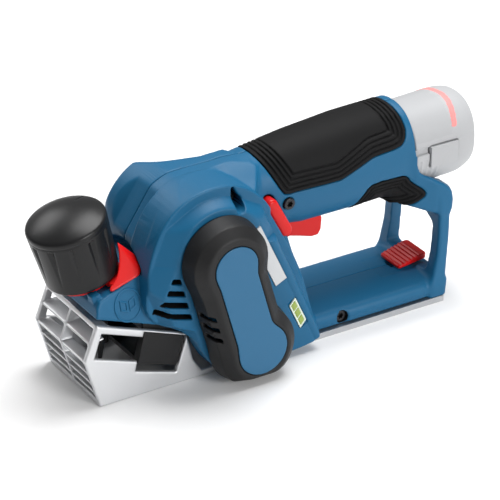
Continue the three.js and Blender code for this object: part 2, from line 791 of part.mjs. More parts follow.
// The belt's centre distance and tangents give one closed loop round both pulleys.
function driveBelt() {
  const loop = (growth) => {
    const r0 = drumPulleyRadius + gap + growth;
    const r1 = motorPulleyRadius + gap + growth;
    const half = beltWidth / 2;
    return hull([
      ...circle(drumX, drumZ, r0, pulleyY - half, 32),
      ...circle(drumX, drumZ, r0, pulleyY + half, 32),
      ...circle(motorX, motorZ, r1, pulleyY - half, 32),
      ...circle(motorX, motorZ, r1, pulleyY + half, 32),
    ]);
  };
  const inner = loop(0);
  const wide = join(
    rod(drumX, drumZ, drumPulleyRadius + gap, pulleyY - 20, pulleyY + 20, drumPulleyRadius + gap, 32),
    rod(motorX, motorZ, motorPulleyRadius + gap, pulleyY - 20, pulleyY + 20, motorPulleyRadius + gap, 32),
  );
  return cut(loop(beltThickness), inner, wide);
}

// ---- Turning parts, each in a frame whose Y axis is its own shaft ----

const ringProfile = (inner, outer, halfLength) => [
  [inner, -halfLength],
  [outer, -halfLength],
  [outer, halfLength],
  [inner, halfLength],
  [inner, -halfLength],
];
const alongY = new THREE.Matrix4().makeRotationX(Math.PI / 2);
const ring = (inner, outer, y, halfLength, sides) =>
  turned(ringProfile(inner, outer, halfLength), new THREE.Matrix4().makeTranslation(0, y, 0).multiply(alongY), sides);

const bladePocket = { low: 9.5, left: -5, right: 4 };
const bladeThickness = 1.3;
const clampScrewRadius = 2;
const clampScrewYs = [-18, 0, 18];
const bladeTop = () => Math.sqrt(cuttingRadius ** 2 - (bladePocket.right - gap) ** 2);

// A box in the cutter's frame, on the blade side given by sign.
const bladeBox = (sign, u0, u1, y0, y1, v0, v1) =>
  sign > 0 ? box(u0, u1, y0, y1, v0, v1) : box(-u1, -u0, y0, y1, -v1, -v0);

function cutterDrum() {
  const shaftLeft = pulleyY - pulleyWidth / 2 - 0.6;
  const pockets = [1, -1].map((sign) =>
    bladeBox(sign, bladePocket.left, bladePocket.right, -farAway, farAway, bladePocket.low, 30),
  );
  const body = cut(rod(0, 0, drumRadius, -drumHalfLength, drumHalfLength, drumRadius, 32), ...pockets);
  const shaft = rod(0, 0, drumShaftRadius, shaftLeft, drumHalfLength + 5.4);
  return join(body, shaft);
}

function blade(sign) {
  const right = bladePocket.right - gap;
  return bladeBox(sign, right - bladeThickness, right, -drumHalfLength, drumHalfLength, bladePocket.low + gap, bladeTop());
}

function bladeClamp(sign) {
  const left = bladePocket.left + gap;
  const right = bladePocket.right - 2 * gap - bladeThickness;
  const body = bladeBox(sign, left, right, -drumHalfLength, drumHalfLength, bladePocket.low + gap, 15.9);
  const holes = clampScrewYs.map((y) => clampScrew(sign, y, gap));
  return cut(body, ...holes);
}

function clampScrew(sign, y, growth = 0) {
  const u = sign * (bladePocket.left + bladePocket.right - 2) / 2;
  const low = bladePocket.low + 2 * gap - growth * 4;
  const high = 16.2 + growth * 4;
  return sign > 0
    ? post(u, y, clampScrewRadius + growth, low, high, 12)
    : post(u, y, clampScrewRadius + growth, -high, -low, 12);
}

function fan() {
  const hub = ring(motorShaftRadius + gap, 6, 0, fanWidth / 2, 16);
  const plate = ring(motorShaftRadius + gap, fanRadius, -fanWidth / 2 + 0.6, 0.6);
  const vanes = Array.from({ length: 8 }, (_, i) => {
    const vane = new THREE.BoxGeometry(fanRadius - 5.5, fanWidth - 0.4, 1.2);
    vane.translate((fanRadius + 5) / 2 - 0.4, 0.2, 0);
    vane.rotateY((2 * Math.PI * i) / 8);
    return solid(vane);
  });
  return join(hub, plate, ...vanes);
}

function stator() {
  const outer = ring(statorBore, statorRadius, statorY, statorHalfLength);
  const slots = Array.from({ length: 6 }, (_, i) => {
    const slot = new THREE.BoxGeometry(6, 2 * statorHalfLength + 5, 3.4);
    slot.translate(statorBore + 1.6, statorY, 0);
    slot.rotateY((2 * Math.PI * (i + 0.5)) / 6);
    return solid(slot);
  });
  return cut(outer, ...slots);
}

// ---- Knob and chip selector, in the knob's tilted frame ----

function knob() {
  const flutes = Array.from({ length: 12 }, (_, i) => {
    const angle = (2 * Math.PI * i) / 12;
    const rim = knobRimRadius + 1.2;
    const flute = new THREE.CylinderGeometry(0.4, 2.3, knobHeight - 5, 8);
    flute.rotateX(Math.PI / 2);
    flute.translate(rim * Math.cos(angle), rim * Math.sin(angle), knobHeight / 2 + 0.5);
    return solid(flute);
  });
  const profile = [
    [0, 0],
    [knobBaseRadius - 1.5, 0],
    [knobBaseRadius, 1.5],
    [knobRimRadius, knobHeight],
    [knobRimRadius * 0.88, knobHeight + knobDome * 0.4],
    [knobRimRadius * 0.62, knobHeight + knobDome * 0.76],
    [knobRimRadius * 0.3, knobHeight + knobDome * 0.95],
    [0, knobHeight + knobDome],
  ];
  const socket = turned([[0, -1], [spindleRadius + gap, -1], [spindleRadius + gap, 8.3], [0, 8.3]]);
  return cut(turned(profile, new THREE.Matrix4(), 36), socket, ...flutes);
}

function selector() {
  const inner = knobRimRadius + 0.2;
  const arc = (radius, height, spread) =>
    [-1, -0.5, 0, 0.5, 1].map((t) => {
      const angle = selectorAngle + t * spread;
      return point(radius * Math.cos(angle), radius * Math.sin(angle), height);
    });
  const foot = -deckClearance + gap;
  const wedge = hull([
    ...arc(inner - 2, foot, selectorHalfAngle * 1.05),
    ...arc(selectorReach, foot, selectorHalfAngle * 0.9),
    ...arc(selectorReach - 0.5, 2.5, selectorHalfAngle * 0.75),
    ...arc(inner + 1, selectorHeight, selectorHalfAngle * 0.55),
    ...arc(inner - 2, selectorHeight, selectorHalfAngle * 0.55),
  ]);
  const clearKnob = turned([[0, -0.7], [inner, -0.7], [inner, farAway], [0, farAway]], new THREE.Matrix4(), 36);
  const clearSpindle = turned([[0, -20], [spindleRadius + 8, -20], [spindleRadius + 8, 5], [0, 5]]);
  const neck = hull([
    ...arc(12, foot, selectorHalfAngle),
    ...arc(12, -0.9, selectorHalfAngle),
    ...arc(inner, foot, selectorHalfAngle * 0.8),
    ...arc(inner, -0.9, selectorHalfAngle * 0.8),
  ]);
  const discRadius = knobBaseRadius - 4;
  const disc = turned([[0, foot], [discRadius, foot], [discRadius, -0.9], [0, -0.9]], new THREE.Matrix4(), 36);
  return cut(join(wedge, neck, disc), clearKnob, clearSpindle);
}

// ---- Trigger, lock-off and switch ----

const triggerPivot = [drumX + 43.5, 62];

function trigger() {
  const [x, z] = triggerPivot;
  const outline = [
    [x - 2.6, z + 1.5],
    [x - 2.2, z - 8.2],
    [x + 3, z - 6.8],
    [x + 10, z - 8.8],
    [x + 18, z - 11],
    [x + 22.5, z - 10.6],
    [x + 24, z - 1],
    [x + 22, z + 5],
    [x + 6, z + 4],
  ];
  const bore = rod(x, z, 1.6 + gap, -20, 20, 1.6 + gap, 12);
  return cut(prism(outline, -triggerHalfWidth, triggerHalfWidth), bore);
}

const triggerPin = () =>
  rod(...triggerPivot, 1.6, -triggerHalfWidth - runningGap + gap, triggerHalfWidth + runningGap - gap, 1.6, 12);

const switchBody = () =>
  box(triggerPivot[0] + 1, triggerPivot[0] + 22, -triggerHalfWidth + 0.5, triggerHalfWidth - 0.5, triggerPivot[1] + 8.4, 81.5);

// One bar through the handle's root, with a pressing head on each side.
function lockOff() {
  const head = (y0, y1) =>
    hull(
      [lockTop, lockBottom].flatMap(([x, z]) => [
        ...circle(x, z, lockHeadRadius, y0, 16),
        ...circle(x, z, lockHeadRadius, y1, 16),
      ]),
    );
  const x = (lockTop[0] + lockBottom[0]) / 2;
  const z = (lockTop[1] + lockBottom[1]) / 2;
  return join(
    head(-lockHeadReach, -lockHeadReach + 8),
    head(lockHeadReach - 8, lockHeadReach),
    rod(x, z, 3, -lockHeadReach + 7, lockHeadReach - 7, 3, 16),
  );
}

const flankScrew = ({ x, z, y, depth, radius }) => {
  const head = rod(x, z, radius, y + depth - 4, y + depth - gap, radius, 16);
  const drive = rod(x, z, 1.5, y + depth - 10, y + depth - 2.4, 1.5, 6);
  return cut(head, drive);
};

const soleScrew = (x) => cut(post(x, 0, soleScrewRadius, 0.8, soleThickness, 12), post(x, 0, 1.4, -1, 2.2, 6));

// ---- Park foot and its lever ----

function parkFoot() {
  const [x, z] = parkPivot;
  const half = parkSlotHalfWidth - 0.6;
  const arm = prism(
    [
      [x - 3, z - 3],
      [x + 3, z - 5.5],
      [soleRearX - 3, 0.9],
      [soleRearX - 1.2, 2.4],
      [soleRearX - 2, 5],
      [x + 3, z + 2.6],
      [x - 3, z + 2.6],
    ],
    -half,
    half,
  );
  return cut(arm, rod(x, z, 1.5 + gap, -20, 20, 1.5 + gap, 12));
}

const parkPin = () => rod(...parkPivot, 1.5, -parkSlotHalfWidth + gap, parkSlotHalfWidth - gap, 1.5, 12);

function parkLever() {
  const low = baseCrownZ + gap;
  const x0 = parkLeverX - 9.5;
  const x1 = parkLeverX + 9.5;
  const pad = prism([[x0, low], [x1, low], [x1, low + 5], [x1 - 3, low + 5.6], [x0, low + 2.6]], -9.5, 9.5);
  const ribs = Array.from({ length: 6 }, (_, i) => {
    const x = x0 + 2.2 + i * 2.7;
    const z = low + 2.7 + (x - x0) * 0.19;
    return box(x, x + 1.1, -20, 20, z, z + 5);
  });
  const neck = box(parkLeverX - 2.6, parkLeverX + 2.6, -2.6, 2.6, 13.2, low + 0.5);
  return join(cut(pad, ...ribs), neck);
}

// ---- Battery ----

function batteryShell() {
  const x0 = rimX + 0.8;
  const x1 = rimX + batteryHeadLength;
  const head = hull([
    ...batterySection(x0, -0.6),
    ...batterySection(x0 + 1.2, 0),
    ...batterySection(x1 - 12, 0),
    ...batterySection(x1 - 4, -3),
    ...batterySection(x1, -9),
  ]);
  const stalk = hull([...stalkSection(stalkX0, 0), ...stalkSection(x0 + 2, 0)]);
  const seats = [-1, 1].map((sign) => batteryButton(sign, 0.5, buttonTravel + 0.5));
  return cut(join(head, stalk), ...seats);
}

function batteryButton(sign, growth = 0, well = 0) {
  const x = rimX + 19;
  const z = batteryZ(x) - 2;
  const y0 = batteryHalfWidth - 3 - well;
  const y1 = batteryHalfWidth + 0.9 + growth * 3;
  const reach = 9 + growth;
  const rise = 6 + growth;
  const y = [y0, y1].map((v) => sign * v);
  return box(x - reach, x + reach, Math.min(...y), Math.max(...y), z - rise, z + rise);
}

const contactBlock = () => box(stalkX0 - 5.4, stalkX0 - 0.8, -13, 13, 82, 100);
const controlBoard = () => box(motorX + 35, stalkX0 - 8, -11.5, 11.5, 93, 95);

// ---- Assembly ----

const [leftHalf, rightHalf] = housingHalves();

const drumGroup = group(
  piece("cutter_drum", cutterDrum(), aluminium),
  piece("drum_pulley", pulley(drumPulleyRadius, drumShaftRadius).translate([0, pulleyY, 0]), black),
  ...[["a", 1], ["b", -1]].flatMap(([letter, sign]) => [
    piece(`blade_${letter}`, blade(sign), steel),
    piece(`blade_clamp_${letter}`, bladeClamp(sign), steel),
    ...clampScrewYs.map((y, i) => piece(`clamp_screw_${letter}${i + 1}`, clampScrew(sign, y), steel)),
  ]),
);
drumGroup.position.set(drumX, 0, drumZ);

const motorShaftEnd = headHalfWidth - 1;
const motorGroup = group(
  piece("motor_stator", stator(), copper),
  piece("motor_rotor", ring(motorShaftRadius + gap, rotorRadius, statorY, statorHalfLength - 1), steel),
  piece("motor_shaft", rod(0, 0, motorShaftRadius, pulleyY - pulleyWidth / 2 - 0.6, motorShaftEnd), steel),
  piece("motor_fan", fan().translate([0, statorY + statorHalfLength + 1.2 + fanWidth / 2, 0]), black),
  piece("motor_pulley", pulley(motorPulleyRadius, motorShaftRadius).translate([0, pulleyY, 0]), steel),
  piece("motor_bearing_left", ring(motorShaftRadius + gap, motorBearingRadius, flankY + 4 + gap + bearingWidth / 2, bearingWidth / 2), steel),
  piece("motor_bearing_right", ring(motorShaftRadius + gap, motorBearingRadius, motorShaftEnd - 2, 2), steel),
);
motorGroup.position.set(motorX, 0, motorZ);

const bearingGroup = group(
  piece("drum_bearing_left", ring(drumShaftRadius + gap, drumBearingRadius, flankY + 2 + gap + bearingWidth / 2, bearingWidth / 2), steel),
  piece("drum_bearing_right", ring(drumShaftRadius + gap, drumBearingRadius, drumHalfLength + 3, bearingWidth / 2), steel),
);
bearingGroup.position.set(drumX, 0, drumZ);

const knobGroup = group(
  piece("depth_knob", knob(), black),
  piece("depth_spindle", turned([[0, -16], [spindleRadius, -16], [spindleRadius, 8], [0, 8]]), steel),
  piece("chip_selector", selector(), red),
);
knobGroup.position.set(knobX, 0, knobZ);
knobGroup.rotation.y = -knobTilt;

const planer = group(
  piece("housing_left", leftHalf, blue),
  piece("housing_right", rightHalf, blue),
  piece("rear_sole", rearSole(), aluminium),
  ...soleScrewXs.map((x, i) => piece(`sole_screw_${i + 1}`, soleScrew(x), steel)),
  piece("front_shoe", frontShoe(), aluminium),
  piece("chip_duct", chipDuct(), black),
  piece("chip_vane", chipVane(), black),
  piece("belt_cover", beltCover(), black),
  piece("cover_badge", badgeSolid(0), blue),
  piece("drive_belt", driveBelt(), rubber),
  piece("grip_saddle", gripSaddle(), rubber),
  piece("grip_pad_left", gripPad(-1), rubber),
  piece("grip_pad_right", gripPad(1), rubber),
  piece("trigger", trigger(), red),
  piece("trigger_pin", triggerPin(), steel),
  piece("switch_body", switchBody(), black),
  piece("lock_off_button", lockOff(), red),
  piece("handle_screw", flankScrew(screws.handle), steel),
  piece("base_screw", flankScrew(screws.base), steel),
  piece("head_screw", flankScrew(screws.head), steel),
  piece("label_plate", labelSolid(0), paleGrey),
  piece("charge_gauge", gaugeSolid(0), clear),
  piece("park_foot", parkFoot(), black),
  piece("park_pin", parkPin(), steel),
  piece("park_lever", parkLever(), red),
  piece("battery_shell", batteryShell(), paleGrey),
  piece("battery_button_left", batteryButton(-1), paleGrey),
  piece("battery_button_right", batteryButton(1), paleGrey),
  piece("battery_contacts", contactBlock(), black),
  piece("control_board", controlBoard(), green),
);
planer.add(drumGroup, motorGroup, bearingGroup, knobGroup);

export default planer;
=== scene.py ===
import json
import math

import bmesh
import bpy
import numpy as np
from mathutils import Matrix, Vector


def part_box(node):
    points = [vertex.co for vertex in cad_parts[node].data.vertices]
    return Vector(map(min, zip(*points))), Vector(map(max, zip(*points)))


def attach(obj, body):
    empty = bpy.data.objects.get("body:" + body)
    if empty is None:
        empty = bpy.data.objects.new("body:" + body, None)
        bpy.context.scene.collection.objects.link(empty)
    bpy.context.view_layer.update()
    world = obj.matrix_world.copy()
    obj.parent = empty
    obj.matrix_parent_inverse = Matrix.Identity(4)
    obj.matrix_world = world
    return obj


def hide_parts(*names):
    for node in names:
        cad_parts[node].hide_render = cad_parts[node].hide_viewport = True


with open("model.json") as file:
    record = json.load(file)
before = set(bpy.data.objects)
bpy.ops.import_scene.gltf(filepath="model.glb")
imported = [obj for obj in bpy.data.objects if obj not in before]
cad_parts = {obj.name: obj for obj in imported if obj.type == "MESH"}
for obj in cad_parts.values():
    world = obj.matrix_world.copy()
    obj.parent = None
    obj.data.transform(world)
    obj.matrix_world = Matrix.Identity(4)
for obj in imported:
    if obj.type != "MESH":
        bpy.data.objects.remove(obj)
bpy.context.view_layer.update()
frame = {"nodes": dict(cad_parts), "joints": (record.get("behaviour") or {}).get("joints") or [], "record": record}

import openvdb
from mathutils import Matrix, Vector

# All shapes are written in millimetres in the frame of the CAD part: -X ahead, -Y the belt side, +Z up.
MM = 0.001
JOINTS = {joint["name"]: joint for joint in frame["joints"]}


def place(joint):
    """A hinge's point in millimetres."""
    return [1000 * v for v in JOINTS[joint]["pos_m"]]


MOTOR_X, _, MOTOR_Z = place("motor_spin")
DRUM_X, _, DRUM_Z = place("cutter_spin")
KNOB_X, _, KNOB_Z = place("depth_knob_turn")
TRIGGER_X, _, TRIGGER_Z = place("trigger_pull")
KNOB_AXIS = JOINTS["depth_knob_turn"]["axis"]
BATTERY_AXIS = JOINTS["battery_slide"]["axis"]
HANDLE_SLOPE = BATTERY_AXIS[2] / BATTERY_AXIS[0]


def box_mm(node):
    """A CAD node's lowest and highest corners in millimetres."""
    low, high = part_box(node)
    return [1000 * v for v in low], [1000 * v for v in high]


_, SOLE_HIGH = box_mm("rear_sole")
SHOE_LOW, SHOE_HIGH = box_mm("front_shoe")
COVER_LOW, COVER_HIGH = box_mm("belt_cover")
BATTERY_LOW, BATTERY_HIGH = box_mm("battery_shell")
SOLE_HALF = SOLE_HIGH[1]
FLOOR_Z = SOLE_HIGH[2] + 0.3
SOLE_REAR = SOLE_HIGH[0]
TOE_X = DRUM_X - 85.5
RIM_X = SOLE_REAR - 17.5
RIM_Z = 92.5
FRAME_REAR = SOLE_REAR + 5.5
FLANK = 37.7
COVER_DEPTH = 16
COVER_RADIUS = 24
KNOB_RADIUS = 20
KNOB_HEIGHT = 33
DECK_CLEARANCE = 3.7
GRIP_DEPTH = 1.6
FINE = 0.62

# ---------------------------------------------------------------- distance fields


class Space:
    """A regular grid of points, kept as three broadcasting axes."""

    def __init__(self, low, high, step):
        self.step = step
        self.low = np.array(low, float) - 3 * step
        counts = np.ceil((np.array(high, float) + 3 * step - self.low) / step).astype(int) + 1
        axes = [self.low[i] + step * np.arange(counts[i], dtype=np.float32) for i in range(3)]
        self.x = axes[0][:, None, None].astype(np.float32)
        self.y = axes[1][None, :, None].astype(np.float32)
        self.z = axes[2][None, None, :].astype(np.float32)


def smin(a, b, k):
    """The smooth union of two fields, blended over k."""
    h = np.clip(0.5 + 0.5 * (b - a) / k, 0, 1)
    return b * (1 - h) + a * h - k * h * (1 - h)


def smax(a, b, k):
    """The smooth intersection of two fields."""
    return -smin(-a, -b, k)


def polygon(points, u, v):
    """Signed distance to a closed outline, negative inside."""
    distance = None
    inside = None
    count = len(points)
    for i in range(count):
        (ax, ay), (bx, by) = points[i], points[(i + 1) % count]
        ex, ey = bx - ax, by - ay
        wx, wy = u - ax, v - ay
        t = np.clip((wx * ex + wy * ey) / (ex * ex + ey * ey), 0, 1)
        d = (wx - ex * t) ** 2 + (wy - ey * t) ** 2
        distance = d if distance is None else np.minimum(distance, d)
        above_a = v >= ay
        above_b = v < by
        side = ex * wy > ey * wx
        flip = (above_a & above_b & side) | (~above_a & ~above_b & ~side)
        inside = flip if inside is None else inside ^ flip
    return np.sqrt(distance) * np.where(inside, -1, 1)


def rounded(points, times):
    """An outline with its corners cut into curves."""
    for _ in range(times):
        made = []
        for i, (ax, ay) in enumerate(points):
            bx, by = points[(i + 1) % len(points)]
            made.append((0.75 * ax + 0.25 * bx, 0.75 * ay + 0.25 * by))
            made.append((0.25 * ax + 0.75 * bx, 0.25 * ay + 0.75 * by))
        points = made
    return points


def slab(value, low, high):
    """Distance to the band between two values."""
    return np.maximum(low - value, value - high)


def capsule(u, v, a, b, radius):
    """Distance to a round-ended bar from a to b."""
    ex, ey = b[0] - a[0], b[1] - a[1]
    t = np.clip(((u - a[0]) * ex + (v - a[1]) * ey) / (ex * ex + ey * ey), 0, 1)
    return np.hypot(u - a[0] - ex * t, v - a[1] - ey * t) - radius


def ellipse_tube(s, centre_z, half_width, top, bottom, power=2.3):
    """Distance to a tube along X with a squarish oval section."""
    rise = s.z - centre_z
    height = np.where(rise > 0, top, bottom)
    ratio = (np.abs(s.y / half_width) ** power + np.abs(rise / height) ** power) ** (1 / power)
    return (ratio - 1) * np.minimum(half_width, height) * 0.96


def knob_coordinates(s):
    """Height along the knob's axis, radius from it, and the two offsets across it."""
    nx, _, nz = KNOB_AXIS
    qx, qz = s.x - KNOB_X, s.z - KNOB_Z
    height = qx * nx + qz * nz
    ahead = qx * nz - qz * nx
    return height, np.hypot(ahead, s.y), ahead


# ---------------------------------------------------------------- meshes


def new_object(name, mesh):
    """Puts a mesh into the scene."""
    made = bpy.data.objects.new(name, mesh)
    bpy.context.scene.collection.objects.link(made)
    return made


def surface(name, s, field, thin=1.0):
    """The zero surface of a field as a smooth-shaded object, thinned to a share of its faces."""
    reach = 3 * s.step
    values = np.clip(np.broadcast_to(field, (s.x.size, s.y.size, s.z.size)), -reach, reach)
    grid = openvdb.FloatGrid(background=reach)
    grid.copyFromArray(np.ascontiguousarray(values, dtype=np.float32))
    points, quads = grid.convertToQuads(isovalue=0.0)
    mesh = bpy.data.meshes.new(name)
    co = (points * s.step + s.low) * MM
    mesh.from_pydata(co.tolist(), [], quads.tolist())
    mesh.validate()
    made = new_object(name, mesh)
    largest_only(mesh)
    if thin < 1:
        reduce_faces(made, thin)
    mesh = made.data
    mesh.shade_smooth()
    return made


def largest_only(mesh):
    """Drops specks: every closed bit that is much smaller than the biggest."""
    work = bmesh.new()
    work.from_mesh(mesh)
    work.verts.ensure_lookup_table()
    seen = np.zeros(len(work.verts), bool)
    groups = []
    for start in work.verts:
        if seen[start.index]:
            continue
        seen[start.index] = True
        stack, found = [start], []
        while stack:
            vert = stack.pop()
            found.append(vert)
            for edge in vert.link_edges:
                other = edge.other_vert(vert)
                if not seen[other.index]:
                    seen[other.index] = True
                    stack.append(other)
        groups.append(found)
    groups.sort(key=len)
    doomed = [v for found in groups[:-1] if len(found) < 0.02 * len(groups[-1]) for v in found]
    bmesh.ops.delete(work, geom=doomed, context="VERTS")
    work.to_mesh(mesh)
    work.free()


def reduce_faces(obj, share):
    """Thins an object's mesh to a share of its faces."""
    modifier = obj.modifiers.new("thin", "DECIMATE")
    modifier.ratio = share
    apply_modifiers(obj)


def apply_modifiers(obj):
    """Replaces an object's mesh by what its modifiers make of it."""
    graph = bpy.context.evaluated_depsgraph_get()
    made = bpy.data.meshes.new_from_object(obj.evaluated_get(graph))
    old = obj.data
    obj.modifiers.clear()
    obj.data = made
    bpy.data.meshes.remove(old)
    made.name = obj.name


# ---------------------------------------------------------------- housing

SHOE_SLOPE = 0.382
DECK_TILT = math.radians(15)


def edge_at(x):
    """The housing's lower edge above the shoe."""
    return SHOE_HIGH[2] + 3.4 - SHOE_SLOPE * (x - TOE_X)


def deck_at(x):
    """The height of the deck under the knob."""
    return KNOB_Z - DECK_CLEARANCE / math.cos(DECK_TILT) + (x - KNOB_X) * math.tan(DECK_TILT)


def handle_z(x):
    """The height of the handle's middle line."""
    return RIM_Z + (x - RIM_X) * HANDLE_SLOPE


def step(value, low, high):
    """A smooth rise from 0 to 1 between two values."""
    t = np.clip((value - low) / (high - low), 0, 1)
    return t * t * (3 - 2 * t)


def handle_field(s, inset=0.0):
    """The handle's tube, drawn in by an inset."""
    stations = [DRUM_X + 8, DRUM_X + 19, DRUM_X + 50, DRUM_X + 82, RIM_X]
    half = np.interp(s.x, stations, [19, 20, 21.4, 22.5, 22.5]) - inset
    top = np.interp(s.x, stations, [21.5, 22.5, 25.4, 26.9, 26.5]) - inset
    bottom = np.interp(s.x, stations, [18, 20, 26.2, 27.4, 27.0]) - inset
    tube = ellipse_tube(s, handle_z(s.x), half, top, bottom)
    along = s.x + (s.z - RIM_Z) * HANDLE_SLOPE
    return smax(tube, slab(along, DRUM_X + 6, RIM_X), 1.2)


def cover_outline(s, inset):
    """Distance to the belt cover's figure, drawn in by an inset."""
    upper = np.hypot(s.x - MOTOR_X, s.z - MOTOR_Z) - (COVER_RADIUS - inset)
    lower = np.hypot(s.x - DRUM_X, s.z - DRUM_Z - 1.5) - (COVER_RADIUS - inset)
    waist = capsule(s.x, s.z, (MOTOR_X - 1.5, MOTOR_Z), (DRUM_X - 3, DRUM_Z + 1.5), 21.6 - inset)
    return smin(smin(upper, waist, 3), lower, 3)


def line_distance(s, a, b):
    """Distance to the right of the line from a to b."""
    dx, dz = b[0] - a[0], b[1] - a[1]
    size = math.hypot(dx, dz)
    return ((s.x - a[0]) * dz - (s.z - a[1]) * dx) / size


FLANK_OUTLINE = [
    (-88, 44), (-86.5, 68), (-84, 80), (-78, 95), (-69, 105.6), (-56, 111.3), (-42, 112.3), (-30, 109.6),
    (-21, 103.6), (-12, 94), (-4.6, 77.5), (5, 55), (17.5, 14), (17, FLOOR_Z), (-46, FLOOR_Z), (-57, 18),
    (-62.5, 31),
]
CREASE = ((-65.9, 92.4), (-84.9, 47.7))
REAR_EDGE = ((-18.3, 89.2), (15.7, 11.4))


def flank_reach(s):
    """How far the belt side's wall stands out from the middle, seen from that side."""
    cover = cover_outline(s, 0)
    radius = np.hypot(s.x - MOTOR_X, s.z - MOTOR_Z)
    upness = step((s.z - MOTOR_Z) / np.maximum(radius, 1), 0.45, 0.93)
    crown = FLANK - (0.75 + 1.15 * upness) * np.maximum(radius - 27.2, -3)
    crown = np.where(s.z > MOTOR_Z, crown, FLANK + 3 + 0.2 * (MOTOR_Z - s.z))
    band = FLANK - 0.4 - 0.72 * line_distance(s, *CREASE)
    past = -line_distance(s, *REAR_EDGE)
    rear = FLANK - 0.5 - 1.05 * np.maximum(past, -4) - 1.6 * np.maximum(past - 1.2, 0)
    groove = 0.45 * np.exp(-(((past + 3.9) / 0.55) ** 2)) * step(94 - s.z, 0, 8)
    low = FLANK - 1.3 * (cover - 2.6)
    low = np.where(s.x < DRUM_X - 6, low + 14 * step(s.z, 33, 42), FLANK + 4)
    wall = smin(smin(smin(np.full_like(radius, FLANK), crown, 2.2), band, 1.2), rear, 0.8) - groove
    return np.maximum(smin(wall, low, 1.0), 30.6)


def core_reach(s):
    """Half the width of the body under the flank."""
    nose = 1 - step(s.x, -87, -79)
    waist = step(s.x, -22, -2)
    radius = np.hypot(s.x - MOTOR_X, s.z - MOTOR_Z)
    ending = np.where((s.z > 68) & (s.y > 0), np.maximum(radius - 29.5, 0), 0)
    width = SOLE_HALF - 0.1 - 0.3 * np.maximum(s.z - edge_at(s.x), 0) * nose
    return width - 0.34 * np.maximum(s.z - 42, 0) * waist - 0.055 * ending**2


def housing_body(s):
    """The deck, head, belt side and bosses as one solid."""
    edge = [edge_at(x) for x in (TOE_X - 0.5, TOE_X + 53.6)]
    deck = polygon(
        [
            (TOE_X - 0.5, edge[0]),
            (TOE_X + 0.6, deck_at(TOE_X) - 2.6),
            (TOE_X + 2.8, deck_at(TOE_X + 2.8)),
            (-82, deck_at(-82)),
            (-60, 80),
            (-45, 60),
            (-45, 32),
            (TOE_X + 53.6, edge[1]),
        ],
        s.x,
        s.z,
    )
    lower = polygon(
        [
            (TOE_X + 53.6, edge[1]),
            (TOE_X + 61.5, 13),
            (TOE_X + 69, FLOOR_Z),
            (14, FLOOR_Z),
            (19.5, 13.5),
            (8, 56),
            (1, 100),
            (-12, 109),
            (-24, 112),
            (-50, 112.3),
            (-76, 60),
        ],
        s.x,
        s.z,
    )
    head = np.hypot(s.x - MOTOR_X, s.z - MOTOR_Z) - 36.8
    head = np.maximum(head, 46 - s.z)
    profile = smin(lower, head, 2.0)
    outward = np.abs(s.y)
    level = np.clip(15 - 0.25 * (s.x + 63), 7, 15)
    fall = np.clip(0.3 + 0.012 * (s.x + 63), 0.3, 0.58)
    roof = s.z - 111.0 + fall * np.maximum(outward - level, 0) - 0.008 * (s.x + 63)
    corner = 24 - (s.z - 75) * 0.31
    brow = -0.832 * (s.x + 63.5) + 0.555 * (s.z - 110.7) - 0.8 * np.maximum(outward - corner, 0)
    brow = brow - 0.5 * np.maximum(s.y - 12, 0)
    reach = core_reach(s)
    body = smax(profile, outward - reach, 2.2)
    body = smax(smax(body, roof, 0.7), brow * 0.9, 0.7)
    body = smin(body, smax(deck, outward - reach, 1.4), 1.6)
    flank = polygon(rounded(FLANK_OUTLINE, 2), s.x, s.z)
    side = smax(flank, -s.y - flank_reach(s), 1.1)
    body = smin(body, np.maximum(side, s.y + 8), 0.9)
    guard = np.hypot(s.x - DRUM_X, s.z - DRUM_Z - 4) - 24
    guard = smax(smax(guard, slab(s.y, 10, SOLE_HALF + 2.8), 1.6), FLOOR_Z - s.z, 0.5)
    drum_boss = smax(np.hypot(s.x - DRUM_X, s.z - DRUM_Z) - 13.6, slab(s.y, 10, SOLE_HALF + 6.3), 1.8)
    motor_boss = smax(np.hypot(s.x - MOTOR_X, s.z - MOTOR_Z) - 20, slab(s.y, 10, 31), 2.2)
    return smin(smin(smin(body, guard, 2), drum_boss, 1.2), motor_boss, 2)


def base_field(s):
    """The low bar behind the head, over the rear sole."""
    outline = [
        (DRUM_X + 34, FLOOR_Z),
        (FRAME_REAR - 4.5, FLOOR_Z),
        (FRAME_REAR - 3.2, 13.5),
        (FRAME_REAR - 3.5, 17),
        (DRUM_X + 34, 17),
    ]
    lengthwise = polygon(outline, s.x, s.z)
    crown = s.z - 15.9 + 0.016 * np.maximum(np.abs(s.y) - 6, 0) ** 2 * 0.4
    panel = 0.5 * (1 - step(np.abs(s.x - 68), 25.5, 26.2))
    groove = 0.4 * np.exp(-(((s.z - 6.6) / 0.35) ** 2)) * (1 - step(np.abs(s.x - 68), 25, 26))
    sides = np.abs(s.y) - (SOLE_HALF - 0.9 + panel - groove)
    return smax(smax(lengthwise, crown, 1.0), sides, 4.2)


